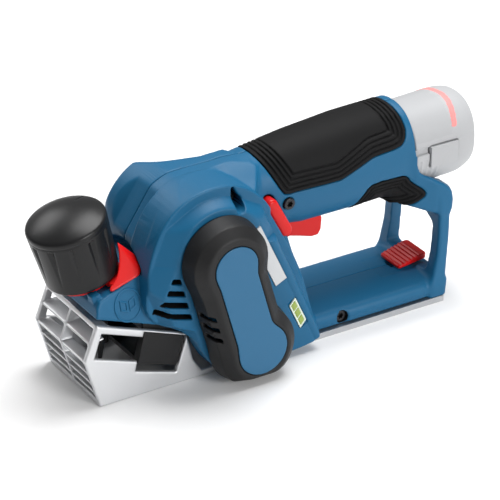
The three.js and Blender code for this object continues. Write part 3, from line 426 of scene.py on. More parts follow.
def frame_field(s):
    """The rear frame with its shoulder, and the window through it."""
    front = FRAME_REAR - 7
    lean = np.interp(s.z, [FLOOR_Z, 16, 30, 69], [-6.5, -5.5, -2.6, 0])
    back = np.interp(s.z, [FLOOR_Z, 65], [-4.5, 0])
    plate = slab(s.x, front + lean, FRAME_REAR + back)
    narrow = np.interp(s.z, [FLOOR_Z, 40, 62, 72], [0, 0.6, 2.6, 6])
    outer = np.abs(s.y) - (SOLE_HALF - 0.4 - narrow)
    block = smax(smax(plate, outer, 2.2), slab(s.z, FLOOR_Z, 69), 2.2)
    shoulder_outline = [
        (RIM_X - 14, 64),
        (RIM_X - 4, 62.5),
        (FRAME_REAR - 9, 54),
        (FRAME_REAR - 0.6, 54),
        (FRAME_REAR + 0.4, 65),
        (FRAME_REAR - 3, 71),
        (RIM_X + 12, 76),
        (RIM_X + 4, 80.4),
        (RIM_X + 0.6, 86),
        (RIM_X, 94),
        (RIM_X - 12, 94),
    ]
    outline = polygon(rounded(shoulder_outline, 1), s.x, s.z)
    widening = np.interp(s.x, [RIM_X - 12, RIM_X, RIM_X + 12, FRAME_REAR], [15, 22.3, 25.6, 26.6])
    shoulder = smax(outline, np.abs(s.y) - widening, 2.4)
    opening = 19.6
    window = smax(np.abs(s.y) - opening, slab(s.z, 17.5, 57), 3.5)
    window = np.maximum(smax(window, np.abs(s.y) * 0.5 + (s.z - 57.8) * 0.87, 3), FRAME_REAR - 20 - s.x)
    return np.maximum(smin(block, shoulder, 3), -window), window


def battery_field(s, growth):
    """The pack's head behind the handle, growing outwards by growth."""
    centre = handle_z(s.x) - 2
    tube = ellipse_tube(s, centre, 22 + growth, 24.5 + growth, 24.5 + growth)
    return smax(tube, RIM_X + 0.4 - growth - s.x, 0.6)


def housing_cavities(s):
    """The bays inside the housing, and the room the shoe sweeps."""
    radius = np.hypot(s.x - MOTOR_X, s.z - MOTOR_Z)
    drum = np.hypot(s.x - DRUM_X, s.z - DRUM_Z)
    motor_bay = np.minimum(
        np.maximum(radius - 22.6, slab(s.y, -24, 22)),
        np.maximum(radius - 8.5, slab(s.y, -FLANK - 2, 29)),
    )
    drum_bay = np.minimum(
        np.maximum(drum - 21.5, slab(s.y, -28.4, 28.4)),
        np.maximum(drum - 10, slab(s.y, -FLANK - 2, 34)),
    )
    mouth = np.maximum(slab(s.x, DRUM_X - 16, DRUM_X + 13), np.maximum(slab(s.y, -28.4, 28.4), s.z - DRUM_Z))
    chip_outline = [
        (TOE_X + 6, 36), (TOE_X + 6, deck_at(TOE_X + 6) - 6), (-86, deck_at(-86) - 8), (-58, 42),
        (DRUM_X - 14, DRUM_Z + 8), (DRUM_X - 14, -4), (TOE_X + 30, -4),
    ]
    chips = np.maximum(polygon(chip_outline, s.x, s.z), np.abs(s.y) - 24.5 + 0.42 * np.maximum(s.z - 42, 0))
    inner = handle_field(s, 3.4)
    bay = smax(inner, slab(s.x, 6, RIM_X + 8), 1)
    stalk = np.maximum(ellipse_tube(s, handle_z(s.x) - 1.4, 18.2, 20.7, 20.7), slab(s.x, 38, RIM_X + 9))
    electronics = np.maximum(np.maximum(slab(s.x, -16, 12), np.abs(s.y) - 13), slab(s.z, 78, 101))
    rise = 2.3
    sweep_outline = [
        (TOE_X - 14, -3),
        (-46.6, -3),
        (-46.6, 4 + rise),
        (TOE_X + 64, 4 + rise),
        (TOE_X + 59, 12 + rise),
        (TOE_X + 53.8, edge_at(TOE_X + 53.8) - 0.9),
        (TOE_X - 14, edge_at(TOE_X - 14) - 0.3),
    ]
    sweep = np.maximum(polygon(sweep_outline, s.x, s.z), np.abs(s.y) - SOLE_HALF - 0.35)
    cavities = [motor_bay, drum_bay, mouth, chips, bay, stalk, electronics, sweep]
    merged = cavities[0]
    for cavity in cavities[1:]:
        merged = np.minimum(merged, cavity)
    return merged


def knob_pocket(s):
    """The room for the knob and the selector under it."""
    height, radius, _ = knob_coordinates(s)
    disc = np.maximum(radius - 32.4, slab(height, -3.7, -0.4))
    cone = np.maximum(radius - 32.4 + (height + 1) * 0.64, slab(height, -0.6, 14.2))
    tower = np.maximum(radius - 23.2, -3.7 - height)
    hole = np.maximum(radius - 4.6, slab(height, -30, 0))
    return np.minimum(np.minimum(disc, cone), np.minimum(tower, hole))


LOCK_TOP = (DRUM_X + 23, 88.5)
LOCK_BOTTOM = (DRUM_X + 32, 71.5)
VENT_LEVELS = [(47.0, 43.6), (40.0, 36.6), (33.2, 29.6), (26.3, 22.9)]


def vent_field(s):
    """The slots beside the belt cover."""
    lean = s.z + 0.3 * s.x
    sides = np.maximum(line_distance(s, *CREASE) + 0.9, line_distance(s, (-63.3, 40.9), (-70.3, 68.2)))
    bars = None
    for high, low in VENT_LEVELS:
        bar = slab(lean, low, high)
        bars = bar if bars is None else np.minimum(bars, bar)
    return np.maximum(smax(sides, bars, 0.6), s.y + 26)


def screw_recesses(s):
    """The sunken seats of the three visible screws."""
    tear = np.hypot(s.x + 32.8, s.z - 100.3) - 3.7
    tail = capsule(s.x, s.z, (-33.4, 103), (-34.6, 109), 2.3 - 0.25 * np.clip(s.z - 103, 0, 7))
    tear = np.maximum(smin(tear, tail, 2.2), s.y + 20.3)
    handle = np.maximum(np.hypot(s.x - 6.5, s.z - 84.7) - 3.5, s.y + 18)
    base = np.maximum(np.hypot(s.x - 38, s.z - 8.6) - 3.6, s.y + 21.6)
    return np.minimum(tear, np.minimum(handle, base))


def icon_piece():
    """A raised ring round a plain open book, on the deck's side."""
    s = Space((-105, -30, 45), (-86, -22, 64.5), 0.24)
    u, v = s.x + 95.6, s.z - 54.8
    mark = np.abs(np.hypot(u, v) - 8.2) - 0.5
    for sign in (-1, 1):
        page = [(sign * 0.5, -3.6), (sign * 5.0, -1.9), (sign * 5.0, 3.8), (sign * 0.5, 2.1)]
        leaf = polygon(page, u, v)
        mark = np.minimum(mark, np.abs(leaf + 0.45) - 0.45)
    depth = -s.y - core_reach(s)
    return surface("deck_icon", s, smax(mark, slab(depth, -0.5, 0.6), 0.3), 0.4)


GRIP_OUTLINE = [
    (-16, 160), (-8.4, 113.5), (-5.4, 108), (-1.2, 99.5), (3.2, 91.6), (5.6, 90.2), (14, 90.6), (38, 90.4),
    (41.5, 91.4), (58.5, 98.4), (62, 99.2), (77.5, 100.3), (81.2, 103.4), (83, 110), (80.5, 124), (79, 160),
]
PAD_OUTLINE = [
    (49.5, 60), (56.5, 79), (60.5, 82.4), (80, 82), (83.5, 80.5), (85.5, 76.8), (94.5, 70), (93.5, 66),
    (80, 60),
]


def grip_zones(s):
    """The side outlines of the rubber saddle and of the pad under it."""
    saddle = polygon(rounded(GRIP_OUTLINE, 1), s.x, s.z)
    pad = polygon(rounded(PAD_OUTLINE, 1), s.x, s.z)
    return saddle, pad


def housing_field(s):
    """The whole housing, both halves together."""
    handle = handle_field(s)
    frame_part, window = frame_field(s)
    whole = smin(housing_body(s), handle, 4.5)
    whole = smin(whole, base_field(s), 2.5)
    whole = smin(whole, frame_part, 4.0)
    whole = np.maximum(whole, -window)
    saddle, pad = grip_zones(s)
    saddle_seat = np.maximum(np.maximum(saddle - 0.35, -handle_field(s, 1.9)), s.x - RIM_X + 0.8)
    pad_seat = np.maximum(pad - 0.35, -1.9 - smin(handle, frame_part, 4.0))
    whole = smax(whole, -np.minimum(saddle_seat, pad_seat), 0.3)
    low_button = capsule(s.x, s.z, LOCK_TOP, LOCK_BOTTOM, 4.5)
    trigger_slot = np.maximum(np.abs(s.y) - 6.7, slab(s.z, 40, 82))
    trigger_slot = np.maximum(slab(s.x, TRIGGER_X - 4, TRIGGER_X + 28), trigger_slot)
    lever_slot = np.maximum(slab(s.x, 86.5, 101), np.maximum(np.abs(s.y) - 3.5, slab(s.z, 10, 22)))
    foot_bay = np.maximum(np.maximum(SOLE_REAR - 26 - s.x, np.abs(s.y) - 5.6), s.z - 12.8)
    lever_bed = smax(smax(SOLE_REAR - 30 - s.x, np.abs(s.y) - 11, 1), slab(s.z, 15.6, 26), 0.4)
    cradle = battery_field(s, 0.8)
    fan_slots = None
    for offset in (-9, -3, 3, 9):
        slot = capsule(s.x, s.z, (MOTOR_X + offset, MOTOR_Z - 6), (MOTOR_X + offset, MOTOR_Z + 6), 1.3)
        fan_slots = slot if fan_slots is None else np.minimum(fan_slots, slot)
    fan_slots = np.maximum(fan_slots, 12 - s.y)
    cuts = [
        housing_cavities(s), knob_pocket(s), vent_field(s), screw_recesses(s), low_button, trigger_slot,
        lever_slot, foot_bay, cradle, fan_slots, lever_bed,
    ]
    for cut in cuts:
        whole = smax(whole, -cut, 0.35)
    for plate in PLATES:
        whole = np.maximum(whole, -plate_field(s, plate, 0.25, -1.2, 2))
    height, radius, back = knob_coordinates(s)
    pointer = np.maximum(slab(radius, 17.6, 23.2), slab(height, -6, -1.3))
    pointer = smax(pointer, np.abs(back + 4.6) - 2.6, 0.6)
    whole = smin(whole, np.maximum(pointer, s.y), 0.5)
    return whole


ALONG = (0.4202, -0.9074)
# Centre x and z, length, width: the side label and the charge gauge.
PLATES = [(DRUM_X + 12.5, 67, 39, 7.5), (DRUM_X + 31.5, 27, 19, 5.5)]


def plate_axes(s, plate):
    """Positions along and across a plate on the flank."""
    x, z, _, _ = plate
    u = (s.x - x) * ALONG[0] + (s.z - z) * ALONG[1]
    v = -(s.x - x) * ALONG[1] + (s.z - z) * ALONG[0]
    return u, v


def plate_field(s, plate, growth, inward, outward):
    """A plate grown by a margin, between two depths from the flank."""
    u, v = plate_axes(s, plate)
    _, _, length, width = plate
    flat = smax(np.abs(u) - length / 2 - growth, np.abs(v) - width / 2 - growth, 0.5)
    return np.maximum(flat, slab(-s.y, FLANK + inward, FLANK + outward))


def housing_halves():
    """The housing parted at the middle plane."""
    made = []
    for name, low, high in (("left", -FLANK - 1, 0), ("right", 0, 36)):
        s = Space((-119, low, 2), (113, high, 121), FINE)
        side = 0.14 - s.y if name == "right" else s.y + 0.14
        half = surface(f"shell_{name}", s, np.maximum(housing_field(s), side), 0.34)
        made.append(half)
    return made


# ---------------------------------------------------------------- other shells


def grips():
    """The rubber skins, with grooves that follow their outlines."""
    made = []
    s = Space((-12, -26, 62), (98, 26, 121), FINE * 0.85)
    saddle, pad = grip_zones(s)
    handle = handle_field(s)
    shoulder, _ = frame_field(s)
    root = smin(handle, shoulder, 4.0)
    saddle = np.maximum(saddle, s.x - RIM_X + 1.2)
    for name, zone, spacing, outer in (("saddle", saddle, 2.55, handle), ("pad", pad, 2.3, root)):
        depth = -zone
        grooves = 0
        for i in range(1, 5 if name == "saddle" else 4):
            grooves = grooves + np.exp(-(((depth - i * spacing) / 0.46) ** 2))
        skin = smax(outer - 0.3 + 1.15 * grooves, zone, 0.8)
        field = np.maximum(skin, -outer - GRIP_DEPTH)
        if name == "saddle":
            made.append(surface("grip_skin", s, field, 0.5))
        else:
            made.append(surface("pad_skin_left", s, np.maximum(field, s.y + 4), 0.6))
            made.append(surface("pad_skin_right", s, np.maximum(field, 4 - s.y), 0.6))
    return made


def belt_cover_pieces():
    """The hollow cover over the belt, and the blank inlay in its face."""
    back, face = -COVER_LOW[1] - COVER_DEPTH, -COVER_LOW[1]
    low_corner = (COVER_LOW[0] - 1, -face - 1, COVER_LOW[2] - 1)
    high_corner = (COVER_HIGH[0] + 1, -back + 1, COVER_HIGH[2] + 1)
    s = Space(low_corner, high_corner, FINE * 0.8)
    depth = -s.y - back
    taper = np.interp(depth, [0, 11, 16], [0, 1.8, 7.2])
    wall = cover_outline(s, taper)
    wall = smax(wall, COVER_LOW[2] + 0.25 * depth - s.z, 1.5)
    shell = smax(wall, slab(-s.y, back, face), 1.0)
    inner = np.maximum(cover_outline(s, taper + 2.4), slab(-s.y, back - 2, face - 2.4))
    inner = np.maximum(inner, COVER_LOW[2] + 2.4 - s.z)
    badge = badge_outline(s)
    seat = np.maximum(badge - 0.3, face - 0.9 + s.y)
    slots = None
    for i in range(3):
        slot_z = 46.6 - i * 7.2
        slot_x = DRUM_X - 28.5 + i * 4.2
        lean = s.z - slot_z + 0.16 * (s.x - slot_x)
        slot = smax(smax(np.abs(lean) - 1.3, slab(-s.y, 41, 51.5), 0.6), s.x - slot_x - 9, 0.4)
        slots = slot if slots is None else np.minimum(slots, slot)
    body = np.maximum(smax(np.maximum(shell, -inner), -seat, 0.3), -slots)
    cover = surface("cover_shell", s, body, 0.6)
    plate = smax(badge, slab(-s.y, face - 0.8, face + 0.15), 0.35)
    return cover, surface("cover_inlay", s, plate, 0.5)


def badge_outline(s):
    """Distance to the inlay's figure."""
    upper = np.hypot(s.x - MOTOR_X - 0.5, s.z - MOTOR_Z + 0.5) - 12.6
    lower = np.hypot(s.x - DRUM_X, s.z - DRUM_Z - 2.5) - 14.4
    waist = capsule(s.x, s.z, (MOTOR_X - 0.6, MOTOR_Z), (DRUM_X - 2.4, DRUM_Z + 2.5), 11.4)
    return smin(smin(upper, waist, 2), lower, 4)


def knob_piece():
    """The domed knob with its finger notches."""
    low, high = box_mm("depth_knob")
    s = Space([v - 1 for v in low], [v + 1 for v in high], 0.5)
    height, radius, back = knob_coordinates(s)
    angle = np.arctan2(s.y, back)
    side = radius - (KNOB_RADIUS + height * 2 / KNOB_HEIGHT)
    dome = height - KNOB_HEIGHT - 8 * np.sqrt(np.clip(1 - (radius / 24.5) ** 2, 0, 1)) ** 1.6 + 0.9
    rim = radius - 22.2
    body = smax(smax(side, dome, 1.4), rim, 0.6)
    body = smax(body, -height, 1.2)
    collar = np.exp(-(((height - 31.2) / 0.35) ** 2)) * 0.35
    count = 12
    turn = (angle * count / (2 * math.pi) + 0.35) % 1.0
    reach = np.clip((height - 4) / 24, 0, 1) * (height < 29.5)
    notch = np.clip(1 - np.abs(turn - 0.5 - 0.06 * reach) / (0.02 + 0.17 * reach), 0, 1)
    body = body + collar + 1.5 * notch * reach
    mark = np.maximum(np.abs(angle - 0.5) * radius - 0.5, np.abs(radius - 15.5) - 3.5)
    body = body + 0.6 * step(-mark, -0.3, 0.4) * (height > KNOB_HEIGHT)
    bore = np.maximum(radius - 4.4, height - 8.3)
    return surface("knob_body", s, np.maximum(body, -bore), 0.7)


SELECTOR_ANGLE = math.radians(-47)


def selector_piece():
    """The red wedge that turns on a disc under the knob."""
    low, high = box_mm("chip_selector")
    s = Space([v - 1 for v in low], [v + 1 for v in high], 0.45)
    height, radius, back = knob_coordinates(s)
    sweep = np.arctan2(s.y, back) - SELECTOR_ANGLE
    far_end = (sweep - math.radians(23)) * radius
    near_end = -(sweep + math.radians(34)) * radius
    slope = 0.038 * back - 0.797 * s.y + 0.603 * height - 17.2
    cone = radius - 31.6 + 0.64 * np.maximum(height + 1, 0)
    wedge = smax(smax(far_end, near_end, 1.0), smax(slope, cone, 1.2), 1.0)
    wedge = smax(smax(wedge, slab(height, -3.4, 13.6), 1.0), 22.3 - radius, 0.4)
    wedge = np.maximum(wedge, 12 - radius)
    neck = np.maximum(slab(radius, 11, 23), slab(height, -3.4, -0.9))
    neck = np.maximum((np.abs(sweep) - math.radians(27)) * radius, neck)
    disc = np.maximum(radius - 16, slab(height, -3.4, -0.9))
    hole = np.maximum(radius - 12, height - 20)
    field = np.maximum(np.minimum(np.minimum(wedge, neck), disc), -hole)
    return surface("selector_wedge", s, field, 0.6)


def shoe_piece():
    """The front shoe: a hollow casting with side windows and a grille."""
    low_corner = (SHOE_LOW[0] - 1, -SOLE_HALF - 1, -1)
    high_corner = (SHOE_HIGH[0] + 1, SOLE_HALF + 1, SHOE_HIGH[2] + 1)
    s = Space(low_corner, high_corner, FINE * 0.8)
    heel = [(TOE_X + 62, 4), (TOE_X + 57, 12), (TOE_X + 53.1, SHOE_HIGH[2] - SHOE_SLOPE * 53.1)]
    nose = (TOE_X - 8.4, 29.5)
    brow = (TOE_X - 0.6, SHOE_HIGH[2])
    lip = SHOE_HIGH[0]
    outline = polygon([(TOE_X, 0), (lip - 6.3, 0), (lip, 4), *heel, brow, nose], s.x, s.z)
    across = np.abs(s.y) - SOLE_HALF
    outer = smax(smax(outline, across, 1.3), -s.z, 0.3)
    inside = SOLE_HALF - 3
    hollow = np.maximum(np.abs(s.y) - inside, 4 - s.z)
    roof_line = s.z - (SHOE_HIGH[2] - SHOE_SLOPE * (s.x - TOE_X))
    windows = None
    for points in WINDOWS:
        opening = polygon(points, s.x, s.z)
        windows = opening if windows is None else np.minimum(windows, opening)
    shell = smax(smax(outer, -hollow, 0.5), -windows, 0.8)
    front = polygon(
        [(TOE_X, 0), (TOE_X + 8, 0), (nose[0] + 8, 29.5), (brow[0] + 8, brow[1] - 3), brow, nose], s.x, s.z
    )
    grille = None
    for level, tilt in ((8.2, 0), (14.6, 0), (21.2, 0), (28.6, 0), (39.0, 0.1)):
        bar = np.abs(s.z - level - tilt * (s.x - TOE_X)) - 0.62
        grille = bar if grille is None else np.minimum(grille, bar)
    rib = np.abs(s.y) - 0.75
    top_bar = slab(roof_line, -3.2, 2)
    lattice = smin(np.minimum(grille, top_bar), rib, 0.9)
    lattice = smax(smax(lattice, front, 0.6), np.abs(s.y) - inside - 1, 0.4)
    return surface("shoe_casting", s, np.maximum(smin(shell, lattice, 0.9), 0.02 - s.z), 0.6)


WINDOWS = [
    [
        (TOE_X + 27.2, SHOE_HIGH[2] - SHOE_SLOPE * 27.2 - 1.3),
        (TOE_X + 53.2, SHOE_HIGH[2] - SHOE_SLOPE * 53.2 - 1.3),
        (TOE_X + 46.4, 7.4),
        (TOE_X + 21.4, 15.3),
    ],
    [
        (TOE_X + 2, SHOE_HIGH[2] - 5.4),
        (TOE_X + 27.3, SHOE_HIGH[2] - 15),
        (TOE_X + 23.6, 20.6),
        (TOE_X - 2.7, 29.9),
    ],
]


def trigger_piece():
    """The trigger under the handle's root."""
    low, high = box_mm("trigger")
    s = Space([v - 1 for v in low], [v + 1 for v in high], 0.4)
    x, z = TRIGGER_X, TRIGGER_Z
    outline = [
        (x - 2.6, z + 1.5), (x - 2.2, z - 8.2), (x + 3, z - 6.8), (x + 10, z - 8.8), (x + 17, z - 11),
        (x + 21.5, z - 11), (x + 23.4, z - 8), (x + 24, z - 1), (x + 22, z + 5), (x + 6, z + 4),
    ]
    body = smax(polygon(outline, s.x, s.z), np.abs(s.y) - 6, 1.6)
    return surface("trigger_lever", s, np.maximum(body, 1.9 - np.hypot(s.x - x, s.z - z)), 0.7)


def lock_piece():
    """The lock-off bar with a head on each side."""
    low, high = box_mm("lock_off_button")
    s = Space([v - 1 for v in low], [v + 1 for v in high], 0.45)
    head = capsule(s.x, s.z, LOCK_TOP, LOCK_BOTTOM, 3.6)
    crown = np.abs(s.y) - high[1] + 0.05 * np.clip(head + 3.6, 0, 4) ** 2
    heads = smax(smax(head, crown, 1.5), 18.4 - np.abs(s.y), 0.5)
    middle_x, middle_z = (LOCK_TOP[0] + LOCK_BOTTOM[0]) / 2, (LOCK_TOP[1] + LOCK_BOTTOM[1]) / 2
    bar = np.maximum(np.hypot(s.x - middle_x, s.z - middle_z) - 3, np.abs(s.y) - 19)
    return surface("lock_bar", s, np.minimum(heads, bar), 0.6)


def lever_piece():
    """The ribbed lever of the parking foot."""
    low, high = box_mm("park_lever")
    s = Space([v - 1 for v in low], [v + 1 for v in high], 0.4)
    pad_low = 16.3
    slope = 0.27
    top = s.z - (pad_low + 1.6 + slope * (s.x - low[0]) + 0.35 * np.sin((s.x - low[0]) * 2 * math.pi / 2.35))
    under = pad_low + 0.12 * (s.x - low[0]) - s.z
    plan = smax(slab(s.x, low[0], high[0]), np.abs(s.y) - high[1], 2.0)
    plate = smax(smax(plan, np.maximum(top, s.z - high[2]), 0.5), under, 0.5)
    stem = np.maximum(slab(s.x, 94, 100), np.maximum(np.abs(s.y) - 2.8, slab(s.z, low[2], pad_low + 2)))
    return surface("lever_pad", s, np.minimum(plate, stem), 0.7)


def battery_piece():
    """The pack's head and stalk, and the stripe round its end."""
    low_corner = (BATTERY_LOW[0] - 1, -23, BATTERY_LOW[2] - 1)
    high_corner = (BATTERY_HIGH[0] + 2, 23, BATTERY_HIGH[2] + 1)
    s = Space(low_corner, high_corner, FINE)
    along = s.x + (s.z - RIM_Z) * HANDLE_SLOPE
    centre = handle_z(s.x) - 2
    end = RIM_X + 43.2
    grow = -0.02 * np.maximum(s.x - RIM_X - 30, 0) ** 2
    tube = ellipse_tube(s, centre, 22 + grow, 24.4 + grow, 24.4 + grow)
    head = smax(smax(tube, along - end, 3.4), RIM_X + 0.5 - along, 0.8)
    seam = 0.35 * np.exp(-(((s.z - centre - 4.5) / 0.45) ** 2))
    groove = capsule(s.x, s.z, (RIM_X - 4, RIM_Z + 0.2), (RIM_X + 20, RIM_Z + 1.6), 1.8)
    groove = np.maximum(groove, 20.2 - np.abs(s.y))
    ribs = 0
    for i in range(4):
        ribs = ribs + np.exp(-(((s.x - RIM_X - 4.5 - 3.6 * i) / 0.5) ** 2)) * (slab(s.z, 74, 88.5) < 0)
    head = head + seam - 0.5 * ribs * (np.abs(s.y) > 12)
    head = smax(head, -groove, 0.5)
    for sign in (-1, 1):
        low, high = box_mm("battery_button_left" if sign > 0 else "battery_button_right")
        pocket = smax(slab(s.x, low[0] - 0.5, high[0] + 0.5), slab(s.z, low[2] - 0.5, high[2] + 0.5), 1)
        head = np.maximum(head, -np.maximum(pocket, 17.6 - sign * s.y))
    stalk = smax(ellipse_tube(s, centre + 0.6, 17.4, 19.9, 19.9), slab(s.x, BATTERY_LOW[0], RIM_X + 3), 1)
    body = surface("pack_body", s, np.minimum(head, stalk), 0.5)
    arc = np.abs(s.x - RIM_X - 29 + 0.012 * (s.y + 6) ** 2) - 1.9
    zone = smax(arc, handle_z(s.x) + 9 - s.z, 1.0)
    band = np.maximum(np.maximum(head - 0.12, -head - 0.9), zone)
    return body, surface("pack_stripe_arc", s, band, 0.5)


def screw_piece(name, node):
    """A screw head with a six-lobed socket."""
    low, high = box_mm(node)
    x, z = (low[0] + high[0]) / 2, (low[2] + high[2]) / 2
    radius = (high[0] - low[0]) / 2
    s = Space((low[0] - 0.5, low[1] - 0.5, low[2] - 0.5), (high[0] + 0.5, high[1] + 0.5, high[2] + 0.5), 0.2)
    distance = np.hypot(s.x - x, s.z - z)
    angle = np.arctan2(s.z - z, s.x - x)
    head = smax(distance - radius, slab(s.y, low[1], high[1]), 0.5)
    star = distance - 1.55 - 0.32 * np.cos(6 * angle)
    return surface(name, s, smax(head, -np.maximum(star, s.y - high[1] + 1.2), 0.15), 0.5)


def gauge_pieces():
    """The charge gauge's border and its three bars."""
    _, _, length, width = PLATES[1]
    x, z, _, _ = PLATES[1]
    s = Space((x - 9, -FLANK - 1, z - 12), (x + 9, -FLANK + 2, z + 12), 0.22)
    u, v = plate_axes(s, PLATES[1])
    skew = u + 0.45 * v
    outer = smax(np.abs(skew) - length / 2 + 1.0, np.abs(v) - width / 2 + 0.15, 0.5)
    border = smax(outer, slab(-s.y, FLANK - 1.1, FLANK + 0.12), 0.15)
    frame_ring = np.maximum(border, -np.maximum(outer + 0.8, FLANK - 0.3 + s.y))
    rim = surface("gauge_rim", s, frame_ring, 0.4)
    bars = None
    for centre in (-5.2, 0, 5.2):
        bar = smax(np.abs(skew - centre) - 2.2, outer + 1.0, 0.1)
        bars = bar if bars is None else np.minimum(bars, bar)
    bars = np.maximum(bars, slab(-s.y, FLANK - 0.6, FLANK + 0.02))
    return rim, surface("gauge_bars", s, bars, 0.4)


# ---------------------------------------------------------------- materials


def material(name, colour, rough, metal=0.0, grain=2200.0, bump=0.08, mottle=0.06, streak=None, gloss=0.28):
    """A procedural finish: fine grain in the surface, slight mottling of colour and roughness."""
    made = bpy.data.materials.new(name)
    made.use_nodes = True
    nodes, links = made.node_tree.nodes, made.node_tree.links
    shader = nodes["Principled BSDF"]
    shader.inputs["Metallic"].default_value = metal
    shader.inputs["Specular IOR Level"].default_value = gloss
    where = nodes.new("ShaderNodeTexCoord")
    stretch = nodes.new("ShaderNodeMapping")
    stretch.inputs["Scale"].default_value = streak or (1, 1, 1)
    links.new(where.outputs["Object"], stretch.inputs["Vector"])
    fine = nodes.new("ShaderNodeTexNoise")
    fine.inputs["Scale"].default_value = grain
    fine.inputs["Detail"].default_value = 3
    wide = nodes.new("ShaderNodeTexNoise")
    wide.inputs["Scale"].default_value = 45
    wide.inputs["Detail"].default_value = 4
    links.new(stretch.outputs["Vector"], fine.inputs["Vector"])
    links.new(where.outputs["Object"], wide.inputs["Vector"])
    tint = nodes.new("ShaderNodeMix")
    tint.data_type = "RGBA"
    tint.inputs["A"].default_value = (*[c * (1 - mottle) for c in colour], 1)
    tint.inputs["B"].default_value = (*[min(1, c * (1 + mottle)) for c in colour], 1)
    blend = nodes.new("ShaderNodeMath")
    blend.operation = "MULTIPLY_ADD"
    blend.inputs[1].default_value = 0.55
    links.new(fine.outputs["Fac"], blend.inputs[0])
    half = nodes.new("ShaderNodeMath")
    half.operation = "MULTIPLY"
    half.inputs[1].default_value = 0.45
    links.new(wide.outputs["Fac"], half.inputs[0])
    links.new(half.outputs[0], blend.inputs[2])
    links.new(blend.outputs[0], tint.inputs["Factor"])
    links.new(tint.outputs["Result"], shader.inputs["Base Color"])
    spread = nodes.new("ShaderNodeMapRange")
    spread.inputs["To Min"].default_value = max(0.02, rough - 0.07)
    spread.inputs["To Max"].default_value = min(1, rough + 0.07)
    links.new(blend.outputs[0], spread.inputs["Value"])
    links.new(spread.outputs["Result"], shader.inputs["Roughness"])
    relief = nodes.new("ShaderNodeBump")
    relief.inputs["Strength"].default_value = bump
    relief.inputs["Distance"].default_value = 0.0004
    links.new(fine.outputs["Fac"], relief.inputs["Height"])
    links.new(relief.outputs["Normal"], shader.inputs["Normal"])
    return made


def srgb(r, g, b):
    """A colour given by its 8-bit display values, as linear light."""
    return tuple(((v / 255 + 0.055) / 1.055) ** 2.4 if v > 10 else v / 255 / 12.92 for v in (r, g, b))


BLUE = material("housing_blue", srgb(17, 90, 128), 0.46, bump=0.2, mottle=0.07)
INLAY = material("inlay_blue", srgb(42, 98, 134), 0.4, grain=1500, bump=0.03, mottle=0.03)
BLACK = material("moulded_black", srgb(26, 26, 27), 0.5, bump=0.26, mottle=0.12)
GLOSSY = material("knob_black", srgb(24, 24, 25), 0.34, grain=2600, bump=0.06, mottle=0.08)
RUBBER = material("grip_rubber", srgb(15, 15, 16), 0.66, grain=1800, bump=0.2, mottle=0.14, gloss=0.16)
RED = material("signal_red", srgb(202, 16, 15), 0.36, bump=0.05, mottle=0.04)
CAST = material("cast_aluminium", srgb(214, 215, 217), 0.42, metal=0.7, grain=1300, bump=0.06, mottle=0.05)
PLATE = material(
    "machined_aluminium", srgb(190, 191, 193), 0.34, metal=0.9, grain=900, bump=0.1, streak=(0.04, 1, 1)
)
STEEL = material(
    "turned_steel", srgb(150, 152, 155), 0.3, metal=1.0, grain=1200, bump=0.05, streak=(1, 0.05, 1)
)
DARK_STEEL = material("blackened_steel", srgb(58, 58, 60), 0.38, metal=0.8, grain=1500, bump=0.08)
BLADE = material(
    "blade_steel", srgb(196, 198, 201), 0.2, metal=1.0, grain=1500, bump=0.03, streak=(1, 0.03, 1)
)
COPPER = material(
    "winding_steel", srgb(168, 108, 78), 0.4, metal=0.8, grain=700, bump=0.2, streak=(1, 0.08, 1)
)
PACK = material("pack_grey", srgb(170, 171, 173), 0.5, bump=0.1, mottle=0.03)
PACK_DARK = material("pack_grey_dark", srgb(166, 167, 169), 0.5, bump=0.1, mottle=0.03)
PACK_RED = material("pack_stripe", srgb(240, 140, 138), 0.5, bump=0.05, mottle=0.03)
LABEL = material("label_silver", srgb(196, 198, 200), 0.4, metal=0.25, grain=1800, bump=0.03, mottle=0.03)
WHITE = material("gauge_border", srgb(226, 236, 222), 0.35, grain=1500, bump=0.02, mottle=0.02)
OLIVE = material("gauge_lens", srgb(148, 166, 84), 0.3, grain=900, bump=0.04, mottle=0.06)
BOARD = material("board_green", srgb(46, 110, 66), 0.5, grain=700, bump=0.1, mottle=0.15)
# Painted shade: near-black for faces inside the housing's vent slots and screw recesses, standing in for the deep
# shade there.
SHADOW = material("painted_slot_shade", srgb(10, 10, 11), 0.8, bump=0.05, mottle=0.2)

SLOT_FINISH = {
    "housing_plastic": BLUE,
    "cast_aluminium": CAST,
    "machined_aluminium": PLATE,
    "black_plastic": BLACK,
    "grip_rubber": RUBBER,
    "belt_rubber": RUBBER,
    "red_plastic": RED,
    "steel": STEEL,
    "blade_steel": BLADE,
    "motor_steel": COPPER,
    "battery_plastic": PACK,
    "label_film": LABEL,
    "gauge_lens": OLIVE,
    "board_green": BOARD,
}


NODE_SLOTS = {entry["node"]: entry["material_slot"] for entry in frame["record"]["subparts"]}


def dress(obj, finish, body, slot, *nodes):
    """Gives a piece its finish and body, and says which CAD nodes it stands for; the slot argument is not used."""
    obj.data.materials.clear()
    obj.data.materials.append(finish)
    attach(obj, body)
    if nodes:
        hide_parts(*nodes)
    return obj


def paint_where(obj, finish, test):
    """Gives a second material to the faces whose centre and normal, in millimetres, pass a test: a second finish,
    and painted shade too.
    """
    mesh = obj.data
    mesh.materials.append(finish)
    index = len(mesh.materials) - 1
    count = len(mesh.polygons)
    centres = np.zeros(count * 3, np.float32)
    normals = np.zeros(count * 3, np.float32)
    chosen = np.zeros(count, np.int32)
    mesh.polygons.foreach_get("center", centres)
    mesh.polygons.foreach_get("normal", normals)
    mesh.polygons.foreach_get("material_index", chosen)
    centres = centres.reshape(-1, 3) * 1000
    chosen[test(*centres.T, normals.reshape(-1, 3))] = index
    mesh.polygons.foreach_set("material_index", chosen)


class Points:
    """Face centres, read by the same fields that shape the surfaces."""

    def __init__(self, x, y, z):
        self.x, self.y, self.z = x, y, z


